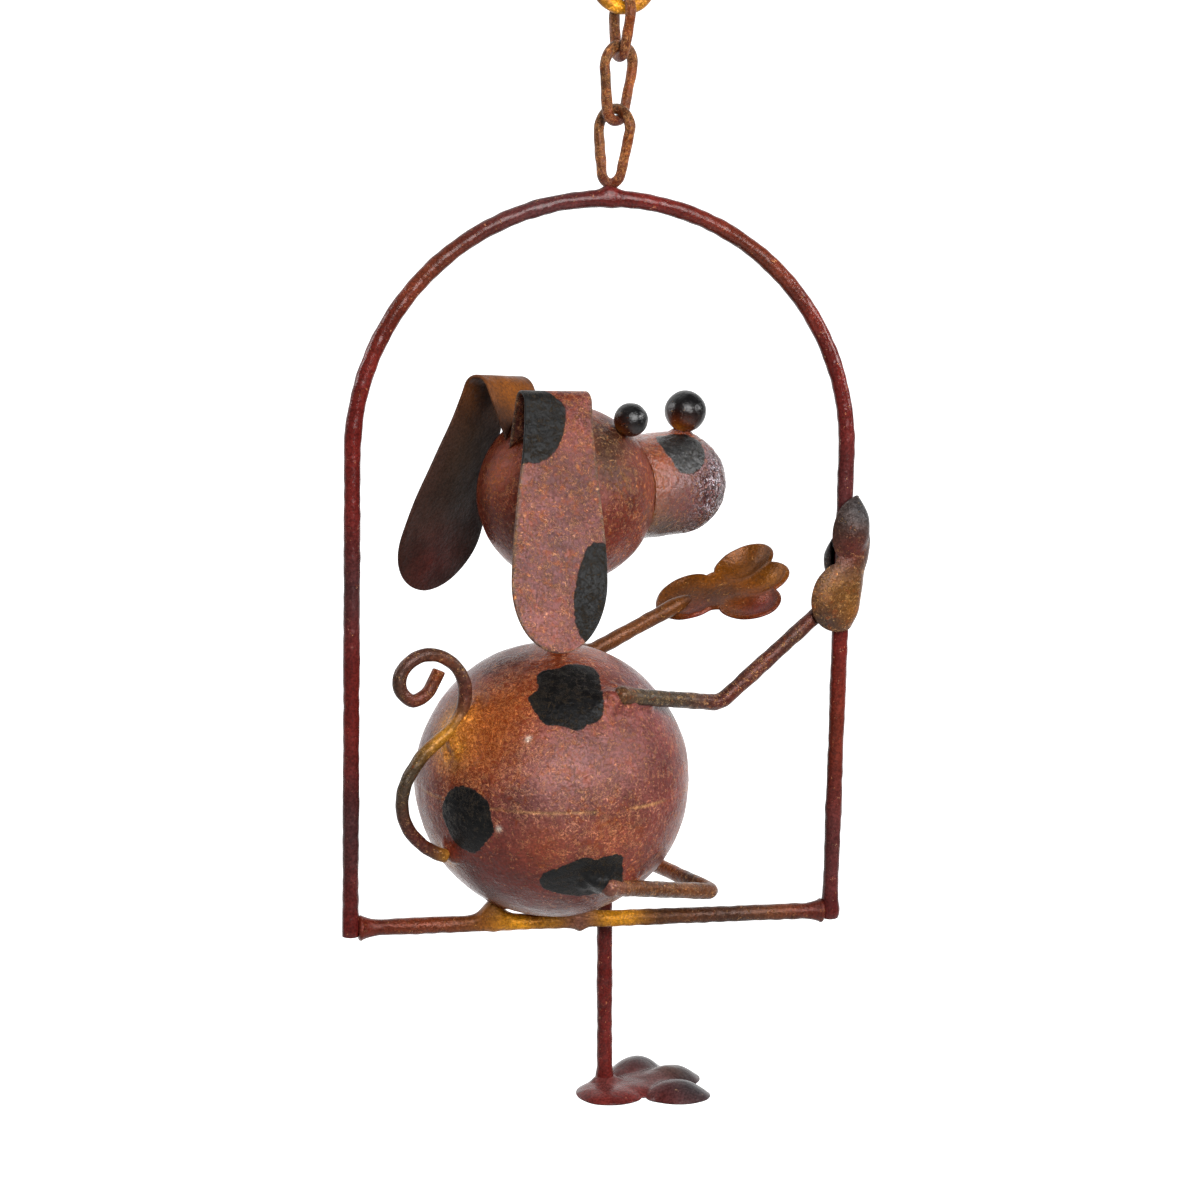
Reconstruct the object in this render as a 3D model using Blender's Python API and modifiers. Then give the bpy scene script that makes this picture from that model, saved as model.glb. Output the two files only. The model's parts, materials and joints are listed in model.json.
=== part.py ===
"""A painted metal dog that swings in an arched rod hoop, hung from a ring by three chain links.

Metres, +Z up. X runs along the hoop's width, +Y points away from the viewer.
The origin is the inside top of the hanging ring, where a hook carries the whole piece.
The dog is two balls, a cup, small balls, bent rods, bent sheet and four pressed paws, all welded.
"""
import math

import bmesh
import bpy
from mathutils import Matrix, Vector

# Clearance kept between two pieces that are welded to each other, less where a flat-sided skin
# already stands back from its true round, and between links that hang in each other
GAP = 0.0003
FACET_GAP = 0.0001
LINK_GAP = 0.0005

# Hanging ring and chain
RING_WIRE = 0.0040
RING_INNER_RADIUS = 0.0054
LINK_WIRE = 0.0030
LINK_TOP_RADIUS = 0.0056
LINK_FOOT_RADIUS = 0.0035
LINK_LENGTHS = {"chain_link_upper": 0.0205, "chain_link_middle": 0.0240, "chain_link_lower": 0.0239}
LINK_TURNS = {"chain_link_upper": -78.0, "chain_link_middle": 35.0, "chain_link_lower": -50.0}
CHAIN_LEAN = 0.0028

# Hoop and seat bar
HOOP_ROD = 0.0048
HOOP_WIDTH = 0.1443
HOOP_SIDE = 0.1382
WELD_LUMP_RADIUS = 0.0034
WELD_LUMP_HEIGHT = 0.0075
WELD_LUMPS_X = (-0.0172, 0.0088)

# Balls of the dog
BODY_RADIUS = 0.0400
BODY_SIDE = -0.0133
BODY_BEHIND = 0.0011
HEAD_RADIUS = 0.0255
NECK_LENGTH = 0.0183
NECK_LEAN_X = 0.0024
NECK_LEAN_Y = -0.0011
NECK_ROD = 0.0060
EYE_RADIUS = 0.0048
NOSE_RADIUS = 0.0061

# The head looks along this azimuth, measured from +X towards +Y
HEAD_AZIMUTH = 23.0
EYE_DIRECTION = (0.32, 0.58, 0.75)
NOSE_DIRECTION = (0.08, 0.10, 0.99)
MUZZLE_RADIUS = 0.0152
MUZZLE_REACH = 0.0383
MUZZLE_RISE = 2.0

# Ears, strips of sheet welded on edge to the head, folded over and hanging
SHEET = 0.0009
EARS = {
    "ear_right": dict(side=1, forward=-0.0117, out=0.0070, up=0.0222, turn=11.6, rise=18.4, stem=0.0065,
                      fold=0.0036, flare=20.8, blade=0.0706, back=0.0081, neck=0.0201, width=0.0282,
                      roll=-1.5),
    "ear_left": dict(side=-1, forward=-0.0108, out=0.0066, up=0.0208, turn=15.6, rise=27.5, stem=0.0107,
                     fold=0.0047, flare=17.2, blade=0.0641, back=0.0059, neck=0.0200, width=0.0330,
                     roll=-4.4),
}
EAR_WIDEST = 0.72

# Limbs, all of one rod, each with the place where it touches the body and its bends from there on.
# The right wrist is measured from the grip on the hoop, and the right shin is given in body radii,
# because it reaches past the body to the foot behind it
LIMB_ROD = 0.0047
LIMB_BEND = 0.0060
LIMB_ROOT = 0.0075
ARM_RIGHT_CONTACT = (0.450, -0.570, 0.687)
ARM_RIGHT_ELBOW = (0.0286, 0.0157, -0.0057)
ARM_RIGHT_WRIST = (-0.0084, -0.0018, -0.0063)
ARM_LEFT_CONTACT = (0.200, 0.500, 0.843)
ARM_LEFT_ELBOW = (0.0064, 0.0036, -0.0036)
LEG_RIGHT_CONTACT = (0.352, -0.733, -0.582)
LEG_RIGHT_KNEE = (0.0326, 0.0226, -0.0088)
SHIN_RATIOS = (-0.495, 1.3625, 0.010)
LEG_LEFT_ANKLE = (0.0199, 0.0109, -0.0968)
LEG_LEFT_LEAN = 1.2

# Pressed paws, all struck from one pattern: a round heel, a waist and three long toes
PAW_SHEET = 0.0013
PAW_HEEL = 0.0107
PAW_HEEL_NARROW = 0.0098
PAW_HEEL_RISE = 0.0024
PAW_TOE_RISE = 0.0046
PAW_REACH = 0.0311
PAW_TOE_LENGTH = 0.0200
PAW_TOE_WIDTH = 0.0152
PAW_TOE_FAN = 27.0
PAW_SIDE_TOES_SHORTER = 0.0012
PAW_WAIST = 0.0180

# Left hand, its heel measured from the elbow and held out palm up, and the left foot, flat below its leg;
# the feet's toes are spread wider than the hands' toes
HAND_LEFT_HEEL = (0.0326, 0.0081, 0.0165)
HAND_LEFT_PALM = (-0.385, -0.425, 0.823)
HAND_LEFT_TOES = (0.920, -0.275, 0.288)
HAND_LEFT_ROD_END = (-0.0007, -0.0058, -0.0001)
FOOT_LEFT_HEEL = (0.0010, -0.0050)
FOOT_LEFT_AZIMUTH = 21.0
FOOT_TOE_FAN = 35.0

# Right hand, its heel flat in front of the hoop's side and its toes wrapped round the rod
GRIP_HEIGHT = 0.0965
GRIP_FACING = -78.0
GRIP_RADIUS = HOOP_ROD / 2 + GAP
GRIP_ARC_RADIUS = 0.0062
GRIP_HEEL_OFFSET = -0.0018
GRIP_TURN = 38.0

# Tail wire, a flat curl beside the body: distance forward and height from the lower weld in body radii,
# so that the curl clears the body whatever its size
TAIL_WIRE = 0.0038
TAIL_AZIMUTH = 12.0
TAIL_CONTACT = (-0.796, -0.441, -0.412)
TAIL_RATIOS = ((0, 0), (-0.13, 0.0625), (-0.2425, 0.16), (-0.315, 0.2825), (-0.3375, 0.42), (-0.3, 0.58),
             (-0.185, 0.75), (-0.055, 0.86), (0.0575, 0.965), (0.115, 1.1), (0.115, 1.255),
             (0.035, 1.39), (-0.105, 1.465), (-0.245, 1.4475), (-0.35, 1.35), (-0.355, 1.23),
             (-0.27, 1.1475), (-0.17, 1.185), (-0.11, 1.27), (-0.0725, 1.355))

# Colours of the paint and the bare spots
RED_BROWN = (0.165, 0.040, 0.024)
MAROON = (0.080, 0.012, 0.010)
RUST = (0.240, 0.075, 0.022)
BLACK = (0.010, 0.011, 0.010)
DARK_BROWN = (0.055, 0.026, 0.018)


def unit(vector):
    """The vector with length one."""
    return Vector(vector).normalized()


def heading(azimuth, elevation=0.0):
    """Direction from an azimuth and an elevation in degrees."""
    flat = math.cos(math.radians(elevation))
    turn = math.radians(azimuth)
    return Vector((flat * math.cos(turn), flat * math.sin(turn), math.sin(math.radians(elevation))))


def enamel(name, colour, roughness, metallic):
    """A Principled material for one finish of the piece."""
    finish = bpy.data.materials.new(name)
    finish.use_nodes = True
    shader = finish.node_tree.nodes["Principled BSDF"]
    shader.inputs["Base Color"].default_value = (*colour, 1.0)
    shader.inputs["Roughness"].default_value = roughness
    shader.inputs["Metallic"].default_value = metallic
    return finish


def own_object(name, data, finish, home):
    """An object of the sculpture with its material, linked to its collection."""
    piece = bpy.data.objects.new(name, data)
    data.materials.append(finish)
    home.objects.link(piece)
    return piece


def from_bmesh(name, shape, finish, home, smooth=True):
    """An object made from a bmesh, shaded smooth with its corners kept sharp."""
    mesh = bpy.data.meshes.new(name)
    shape.to_mesh(mesh)
    shape.free()
    if smooth:
        mesh.shade_smooth()
        mesh.set_sharp_from_angle(angle=math.radians(40.0))
    return own_object(name, mesh, finish, home)


def ball(name, centre, radius, finish, home, segments=24, rings=12):
    """A ball as a UV sphere placed by its centre."""
    shape = bmesh.new()
    bmesh.ops.create_uvsphere(shape, u_segments=segments, v_segments=rings, radius=radius)
    piece = from_bmesh(name, shape, finish, home)
    piece.location = centre
    return piece


def straight_rod(name, start, end, diameter, finish, home, sides=10):
    """A straight rod as a capped cylinder turned onto its axis."""
    start, end = Vector(start), Vector(end)
    shape = bmesh.new()
    bmesh.ops.create_cone(shape, cap_ends=True, segments=sides, radius1=diameter / 2, radius2=diameter / 2,
                          depth=(end - start).length)
    piece = from_bmesh(name, shape, finish, home)
    piece.location = (start + end) / 2
    piece.rotation_mode = "QUATERNION"
    piece.rotation_quaternion = (end - start).to_track_quat("Z", "Y")
    return piece


def bent_rod(name, points, diameter, finish, home, closed=False, resolution=2):
    """A wire along points as a bevelled curve with filled caps."""
    curve = bpy.data.curves.new(name, "CURVE")
    curve.dimensions = "3D"
    curve.bevel_depth = diameter / 2
    curve.bevel_resolution = resolution
    curve.use_fill_caps = not closed
    line = curve.splines.new("POLY")
    line.points.add(len(points) - 1)
    for knot, place in zip(line.points, points):
        knot.co = (*place, 1.0)
    line.use_cyclic_u = closed
    line.use_smooth = True
    return own_object(name, curve, finish, home)


def bend(corners, radius, steps=4):
    """Corner points of a rod with each inner corner rounded by an arc of the given radius."""
    path = [Vector(corners[0])]
    for before, corner, after in zip(corners, corners[1:], corners[2:]):
        towards, away = unit(before - corner), unit(after - corner)
        half = towards.angle(away) / 2
        centre = corner + unit(towards + away) * radius / math.sin(half)
        first = corner + towards * radius / math.tan(half) - centre
        last = corner + away * radius / math.tan(half) - centre
        for step in range(steps + 1):
            share = step / steps
            path.append(centre + unit(first.lerp(last, share)) * radius if 0 < step < steps
                        else centre + (first if step == 0 else last))
    path.append(Vector(corners[-1]))
    return path


def cut_away(piece, cutter):
    """Take the cutter's volume off a piece."""
    cut = piece.modifiers.new(cutter.name, "BOOLEAN")
    cut.operation = "DIFFERENCE"
    cut.object = cutter


def weld_on(piece, lump):
    """Join a lump of weld metal to a piece."""
    joint = piece.modifiers.new(lump.name, "BOOLEAN")
    joint.operation = "UNION"
    joint.object = lump


def as_tool(piece):
    """Show a cutter as wire and leave it out of the sculpture."""
    piece.hide_render = True
    piece.display_type = "WIRE"
    return piece


def link_outline(length, count=9):
    """Centre line of a pear-shaped link: a wide arc on top and a narrow one below, joined by tangents."""
    top = length / 2 - LINK_WIRE / 2 - LINK_TOP_RADIUS
    foot = -length / 2 + LINK_WIRE / 2 + LINK_FOOT_RADIUS
    slope = math.asin((LINK_TOP_RADIUS - LINK_FOOT_RADIUS) / (top - foot))
    points = []
    for step in range(count + 1):
        turn = -slope + (math.pi + 2 * slope) * step / count
        points.append((LINK_TOP_RADIUS * math.cos(turn), top + LINK_TOP_RADIUS * math.sin(turn)))
    for step in range(count):
        turn = math.pi + slope + (math.pi - 2 * slope) * step / (count - 1)
        points.append((LINK_FOOT_RADIUS * math.cos(turn), foot + LINK_FOOT_RADIUS * math.sin(turn)))
    return points


def hang_chain(finishes, home):
    """The ring at the origin and the links below it; gives the place of the hoop's top rod."""
    ring_radius = RING_INNER_RADIUS + RING_WIRE / 2
    shape = [Vector((ring_radius * math.cos(turn), 0.0, ring_radius * math.sin(turn) - RING_INNER_RADIUS))
             for turn in (2 * math.pi * step / 24 for step in range(24))]
    bent_rod("hang_ring", shape, RING_WIRE, finishes["rust"], home, closed=True)
    drop = -RING_INNER_RADIUS - ring_radius
    reach = (RING_WIRE + LINK_WIRE) / 2 + LINK_GAP
    lean = -CHAIN_LEAN / sum(length - LINK_WIRE for length in LINK_LENGTHS.values())
    side = 0.0
    for name, length in LINK_LENGTHS.items():
        top_wire = drop + reach
        centre = top_wire - (length - LINK_WIRE) / 2
        middle = Vector((side + lean * (length - LINK_WIRE) / 2, 0.0, centre))
        width = heading(LINK_TURNS[name])
        rise = unit((-lean, 0.0, 1.0))
        points = [middle + width * across + rise * up for across, up in link_outline(length)]
        bent_rod(name, points, LINK_WIRE, finishes["red"], home, closed=True)
        drop = centre - (length - LINK_WIRE) / 2
        side += lean * (length - LINK_WIRE)
        reach = LINK_WIRE + LINK_GAP
    return Vector((side, 0.0, drop - (LINK_WIRE + HOOP_ROD) / 2 - GAP))


def make_hoop(top, finishes, home):
    """The arch with its straight sides, and the seat bar welded between them; gives the bar's middle."""
    radius = HOOP_WIDTH / 2
    spring = top - Vector((0.0, 0.0, radius))
    seat = spring - Vector((0.0, 0.0, HOOP_SIDE))
    foot = -HOOP_SIDE - HOOP_ROD / 2
    arc = [spring + radius * Vector((-math.cos(turn), 0.0, math.sin(turn)))
           for turn in (math.pi * step / 28 for step in range(29))]
    path = [spring + Vector((-radius, 0.0, foot)), *arc, spring + Vector((radius, 0.0, foot))]
    bent_rod("hoop", path, HOOP_ROD, finishes["maroon"], home, resolution=3)
    reach = Vector((radius - HOOP_ROD / 2 - GAP, 0.0, 0.0))
    return seat, straight_rod("seat_bar", seat - reach, seat + reach, HOOP_ROD, finishes["red"], home, 12)


def make_balls(seat, bar, finishes, home, tools):
    """Body, neck and head, one above the other on the seat bar; gives both centres."""
    stand = HOOP_ROD / 2 + GAP + BODY_RADIUS
    body = seat + Vector((BODY_SIDE, BODY_BEHIND, math.sqrt(stand ** 2 - BODY_BEHIND ** 2)))
    lift = BODY_RADIUS + NECK_LENGTH + HEAD_RADIUS
    rise = math.sqrt(lift ** 2 - NECK_LEAN_X ** 2 - NECK_LEAN_Y ** 2)
    head = body + Vector((NECK_LEAN_X, NECK_LEAN_Y, rise))
    ball("body", body, BODY_RADIUS, finishes["red"], home, 32, 16)
    ball("head", head, HEAD_RADIUS, finishes["red"], home, 28, 14)
    around_body = as_tool(ball("around_body", body, BODY_RADIUS + GAP, finishes["red"], tools, 32, 16))
    around_head = as_tool(ball("around_head", head, HEAD_RADIUS + GAP, finishes["red"], tools, 28, 14))
    neck = straight_rod("neck", body, head, NECK_ROD, finishes["red"], home)
    cut_away(neck, around_body)
    cut_away(neck, around_head)
    for number, across in enumerate(WELD_LUMPS_X, start=1):
        foot = seat + Vector((BODY_SIDE + across, 0.0, 0.0))
        lump = straight_rod(f"weld_lump_{number}", foot, foot + Vector((0.0, 0.0, WELD_LUMP_HEIGHT)),
                            2 * WELD_LUMP_RADIUS, finishes["red"], tools)
        weld_on(bar, as_tool(lump))
    cut_away(bar, around_body)
    return body, head, around_body


def make_face(head, finishes, home):
    """Muzzle cup, nose and the two eyes."""
    forward, up = heading(HEAD_AZIMUTH), Vector((0.0, 0.0, 1.0))
    right = forward.cross(up)
    axis = heading(HEAD_AZIMUTH, MUZZLE_RISE)
    back = HEAD_RADIUS + GAP
    rim = math.sqrt(back ** 2 - MUZZLE_RADIUS ** 2)
    steps = 8
    dome = [(MUZZLE_RADIUS * math.sin(turn), MUZZLE_REACH + MUZZLE_RADIUS * math.cos(turn))
            for turn in (math.pi / 2 * step / steps for step in range(steps + 1))]
    seat_turn = math.asin(MUZZLE_RADIUS / back)
    hollow = [(back * math.sin(turn), back * math.cos(turn))
              for turn in (seat_turn * (1 - step / steps) for step in range(1, steps + 1))]
    profile = [*dome, (MUZZLE_RADIUS, rim), *hollow]
    mesh = bpy.data.meshes.new("muzzle")
    mesh.from_pydata([(out, 0.0, along) for out, along in profile],
                     [(step, step + 1) for step in range(len(profile) - 1)], [])
    muzzle = own_object("muzzle", mesh, finishes["red"], home)
    turned = muzzle.modifiers.new("turned", "SCREW")
    turned.axis = "Z"
    turned.steps = turned.render_steps = 20
    turned.use_merge_vertices = True
    turned.merge_threshold = 0.00001
    muzzle.location = head
    muzzle.rotation_mode = "QUATERNION"
    muzzle.rotation_quaternion = axis.to_track_quat("Z", "Y")

    def on_head(ahead, aside, above):
        """Direction from parts along the dog's own forward, right and up."""
        return unit(forward * ahead + right * aside + up * above)

    ahead, aside, above = NOSE_DIRECTION
    tip = head + axis * MUZZLE_REACH
    ball("nose", tip + on_head(ahead, aside, above) * (MUZZLE_RADIUS + NOSE_RADIUS + FACET_GAP), NOSE_RADIUS,
         finishes["black"], home, 16, 8)
    ahead, aside, above = EYE_DIRECTION
    for name, side in (("eye_right", 1), ("eye_left", -1)):
        place = head + on_head(ahead, side * aside, above) * (HEAD_RADIUS + EYE_RADIUS + FACET_GAP)
        ball(name, place, EYE_RADIUS, finishes["black"], home, 16, 8)
    return tip


def ear_centre_line(ear, travel):
    """Place on the ear's middle line: how far out and up it is after the given travel along the strip."""
    rise, turn = math.radians(ear["rise"]), math.pi - math.radians(ear["rise"] + ear["flare"])
    along, across = (math.sin(rise), math.cos(rise)), (math.cos(rise), -math.sin(rise))
    out, up = along[0] * min(travel, ear["stem"]), along[1] * min(travel, ear["stem"])
    if travel > ear["stem"]:
        angle = min((travel - ear["stem"]) / ear["fold"], turn)
        out += ear["fold"] * (across[0] * (1 - math.cos(angle)) + along[0] * math.sin(angle))
        up += ear["fold"] * (across[1] * (1 - math.cos(angle)) + along[1] * math.sin(angle))
        rest = max(0.0, travel - ear["stem"] - ear["fold"] * turn)
        out += rest * (along[0] * math.cos(turn) + across[0] * math.sin(turn))
        up += rest * (along[1] * math.cos(turn) + across[1] * math.sin(turn))
    return out, up


def ear_half_width(ear, share):
    """Half the ear's width: a strip, then a leaf that widens and ends in a half ellipse."""
    swell = min(share / EAR_WIDEST, 1.0)
    swell = swell * swell * (3 - 2 * swell)
    width = ear["neck"] + (ear["width"] - ear["neck"]) * swell
    end = max(0.0, (share - EAR_WIDEST) / (1 - EAR_WIDEST))
    return width / 2 * math.sqrt(max(0.0, 1 - end * end))


def make_ear(name, head, finish, home):
    """One ear: a strip whose root is scribed to the head, folded over and hanging as a leaf."""
    ear = EARS[name]
    side = ear["side"]
    across = heading(HEAD_AZIMUTH - side * ear["turn"])
    out = Vector((across.y, -across.x, 0.0)) * side
    roll = math.radians(ear["roll"])
    across = across * math.cos(roll) + Vector((0.0, 0.0, math.sin(roll)))
    forward = heading(HEAD_AZIMUTH)
    right = Vector((forward.y, -forward.x, 0.0))
    root = head + forward * ear["forward"] + right * side * ear["out"] + Vector((0.0, 0.0, ear["up"]))
    rise = math.radians(ear["rise"])
    stem = out * math.sin(rise) + Vector((0.0, 0.0, math.cos(rise)))
    turn = math.pi - math.radians(ear["rise"] + ear["flare"])
    fold_end = ear["stem"] + ear["fold"] * turn
    columns = 6
    spans = [-1 + 2 * column / columns for column in range(columns + 1)]
    travels = [ear["stem"] + ear["fold"] * turn * step / 6 for step in range(7)]
    travels += [fold_end + ear["blade"] * share for share in
                (0.12, 0.25, 0.38, 0.5, 0.61, 0.72, 0.8, 0.87, 0.93, 0.97, 0.993)]
    clear = HEAD_RADIUS + GAP + SHEET * 0.1
    rows = []
    first = []
    for span in spans:
        base = root + across * span * ear["neck"] / 2 - head
        reach = base.dot(stem)
        first.append(head + base + stem * (math.sqrt(reach ** 2 - base.length_squared + clear ** 2) - reach))
    rows.append(first)
    for travel in travels:
        share = max(0.0, (travel - fold_end) / ear["blade"])
        go_out, go_up = ear_centre_line(ear, travel)
        middle = root + out * go_out + Vector((0.0, 0.0, go_up)) - across * ear["back"] * share
        rows.append([middle + across * span * ear_half_width(ear, share) for span in spans])
    shape = bmesh.new()
    grid = [[shape.verts.new(place) for place in row] for row in rows]
    for upper, lower in zip(grid, grid[1:]):
        for column in range(columns):
            shape.faces.new((upper[column], upper[column + 1], lower[column + 1], lower[column]))
    piece = from_bmesh(name, shape, finish, home)
    wall = piece.modifiers.new("sheet", "SOLIDIFY")
    wall.thickness = SHEET
    wall.offset = 0.0
    wall.use_even_offset = True
    return piece


def paw_lobes(spread):
    """The discs and ovals of a paw whose side toes stand this many degrees off the middle one: centre, half
    sizes, turn and rise of each."""
    toe = PAW_TOE_LENGTH / 2
    waist = (PAW_REACH - toe) / 2
    lobes = [((0.0, 0.0), (PAW_HEEL, PAW_HEEL_NARROW), 0.0, PAW_HEEL_RISE),
             ((waist, 0.0), (waist, PAW_WAIST / 2), 0.0, PAW_HEEL_RISE)]
    for fan in (-spread, 0.0, spread):
        turn = math.radians(fan)
        reach = PAW_REACH - toe - (PAW_SIDE_TOES_SHORTER if fan else 0.0)
        centre = (reach * math.cos(turn), reach * math.sin(turn))
        lobes.append((centre, (toe, PAW_TOE_WIDTH / 2), turn, PAW_TOE_RISE))
    return lobes


def paw_rise(x, y, lobes):
    """Height of the pressed sheet over its rim: the highest of the lobes' domes at this place."""
    rise = 0.0
    for (cx, cy), (long, wide), turn, height in lobes:
        along = (x - cx) * math.cos(turn) + (y - cy) * math.sin(turn)
        aside = (y - cy) * math.cos(turn) - (x - cx) * math.sin(turn)
        off = (along / long) ** 2 + (aside / wide) ** 2
        rise = max(rise, height * (1 - off * (off if height == PAW_HEEL_RISE else 1)))
    return rise


def paw_edge(angle, hub, lobes):
    """Distance from the hub to the outer edge of the lobes in one direction."""
    dx, dy = math.cos(angle), math.sin(angle)
    edge = 0.0
    for (cx, cy), (long, wide), turn, _ in lobes:
        px = ((hub - cx) * math.cos(turn) - cy * math.sin(turn)) / long
        py = (-(hub - cx) * math.sin(turn) - cy * math.cos(turn)) / wide
        qx = (dx * math.cos(turn) + dy * math.sin(turn)) / long
        qy = (dy * math.cos(turn) - dx * math.sin(turn)) / wide
        a, b, c = qx * qx + qy * qy, px * qx + py * qy, px * px + py * py - 1
        inside = b * b - a * c
        if inside > 0:
            edge = max(edge, (-b + math.sqrt(inside)) / a)
    return edge


def make_paw(name, place, finish, home, spread=PAW_TOE_FAN, around=36, rings=(0.30, 0.58, 0.82, 1.0)):
    """A pressed paw; place turns its own x along the toes, y across and z towards its bulging back."""
    hub, lobes = PAW_HEEL, paw_lobes(spread)
    shape = bmesh.new()
    skins = []
    for level in (0.0, PAW_SHEET):
        skin = [[shape.verts.new(place(hub, 0.0, paw_rise(hub, 0.0, lobes) + level))]]
        for ring in rings:
            row = []
            for step in range(around):
                angle = 2 * math.pi * step / around
                reach = paw_edge(angle, hub, lobes) * ring
                x, y = hub + reach * math.cos(angle), reach * math.sin(angle)
                row.append(shape.verts.new(place(x, y, paw_rise(x, y, lobes) + level)))
            skin.append(row)
        skins.append(skin)
    lower, upper = skins
    for step in range(around):
        after = (step + 1) % around
        for skin, flip in ((lower, True), (upper, False)):
            fan = [skin[0][0], skin[1][step], skin[1][after]]
            shape.faces.new(fan[::-1] if flip else fan)
            for inner, outer in zip(skin[1:], skin[2:]):
                band = [inner[step], outer[step], outer[after], inner[after]]
                shape.faces.new(band[::-1] if flip else band)
        shape.faces.new((lower[-1][step], lower[-1][after], upper[-1][after], upper[-1][step]))
    bmesh.ops.triangulate(shape, faces=shape.faces[:])
    return from_bmesh(name, shape, finish, home)


def flat_paw(heel, toes, back):
    """Places a paw's points on a flat paw with this heel centre, toe direction and bulging back."""
    back = unit(back)
    toes = unit(toes - back * toes.dot(back))
    across = back.cross(toes)
    return lambda x, y, z: heel + toes * x + across * y + back * z


def gripping_paw(rod):
    """Places a paw's points with the heel flat before a rod and the toes wrapped round it."""
    facing = heading(GRIP_FACING)
    up = Vector((0.0, 0.0, 1.0))
    aside = up.cross(facing)
    turn = math.radians(GRIP_TURN)

    def place(x, y, z):
        """The point at this place of the flat pattern, after wrapping."""
        along = GRIP_HEEL_OFFSET + x * math.sin(turn) - y * math.cos(turn)
        height = x * math.cos(turn) + y * math.sin(turn)
        if along < 0:
            return rod + facing * (GRIP_RADIUS + z) + aside * along + up * height
        angle = along / GRIP_ARC_RADIUS
        outward = facing * math.cos(angle) + aside * math.sin(angle)
        return rod + outward * (GRIP_RADIUS + z) + up * height

    return place


def root_and_joint(body, contact, reach):
    """Where a limb rod lies on the body ball, and its first joint, so that it only touches the ball."""
    normal = unit(contact)
    touch = body + normal * (BODY_RADIUS + LIMB_ROD / 2 + FACET_GAP)
    step = Vector(reach)
    step -= normal * step.dot(normal)
    return touch - unit(step) * LIMB_ROOT, touch + step


def make_arms(body, seat, finishes, home):
    """Both arms and their paws: the right one grips the hoop's side, the left one is held out."""
    grip = seat + Vector((HOOP_WIDTH / 2, 0.0, GRIP_HEIGHT))
    make_paw("hand_right", gripping_paw(grip), finishes["red"], home)
    root, elbow = root_and_joint(body, ARM_RIGHT_CONTACT, ARM_RIGHT_ELBOW)
    wrist = grip + Vector(ARM_RIGHT_WRIST)
    bent_rod("arm_right", bend([root, elbow, wrist], LIMB_BEND), LIMB_ROD, finishes["rust"], home)

    palm, toes = unit(HAND_LEFT_PALM), unit(HAND_LEFT_TOES)
    root, elbow = root_and_joint(body, ARM_LEFT_CONTACT, ARM_LEFT_ELBOW)
    heel = elbow + Vector(HAND_LEFT_HEEL)
    make_paw("hand_left", flat_paw(heel, toes, -palm), finishes["rust"], home)
    end = heel + Vector(HAND_LEFT_ROD_END)
    bent_rod("arm_left", bend([root, elbow, end], LIMB_BEND), LIMB_ROD, finishes["rust"], home)


def make_legs(body, around_body, finishes, home):
    """The left leg hangs straight below the body, the right one bends at the knee and runs behind it."""
    ankle = body + Vector(LEG_LEFT_ANKLE)
    height = -LEG_LEFT_ANKLE[2]
    hip = ankle + Vector((-height * math.tan(math.radians(LEG_LEFT_LEAN)), 0.0, height))
    leg = straight_rod("leg_left", ankle, hip, LIMB_ROD, finishes["maroon"], home)
    cut_away(leg, around_body)
    sole = PAW_HEEL_RISE + PAW_SHEET + GAP
    heel = ankle + Vector((*FOOT_LEFT_HEEL, -sole))
    up = Vector((0.0, 0.0, 1.0))
    make_paw("foot_left", flat_paw(heel, heading(FOOT_LEFT_AZIMUTH), up), finishes["maroon"], home,
             FOOT_TOE_FAN)

    root, knee = root_and_joint(body, LEG_RIGHT_CONTACT, LEG_RIGHT_KNEE)
    ankle = knee + Vector(SHIN_RATIOS) * BODY_RADIUS
    bent_rod("leg_right", bend([root, knee, ankle], LIMB_BEND * 0.7), LIMB_ROD, finishes["red"], home)
    shin = unit(SHIN_RATIOS)
    make_paw("foot_right", flat_paw(ankle + shin * sole, up, -shin), finishes["red"], home, FOOT_TOE_FAN)


def make_tail(body, finish, home):
    """The curled tail: a flat run of wire that touches the body at its foot and where it crosses it."""
    foot = body + unit(TAIL_CONTACT) * (BODY_RADIUS + TAIL_WIRE / 2 + GAP)
    forward = heading(TAIL_AZIMUTH)
    up = Vector((0.0, 0.0, 1.0))
    knots = [foot + (forward * ahead + up * rise) * BODY_RADIUS for ahead, rise in TAIL_RATIOS]
    path = []
    for index in range(len(knots) - 1):
        before, start = knots[max(index - 1, 0)], knots[index]
        end, after = knots[index + 1], knots[min(index + 2, len(knots) - 1)]
        for share in (0.0, 0.5):
            path.append(0.5 * (2 * start + (end - before) * share
                               + (2 * before - 5 * start + 4 * end - after) * share ** 2
                               + (3 * start - before - 3 * end + after) * share ** 3))
    path.append(knots[-1])
    bent_rod("tail", path, TAIL_WIRE, finish, home)


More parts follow.
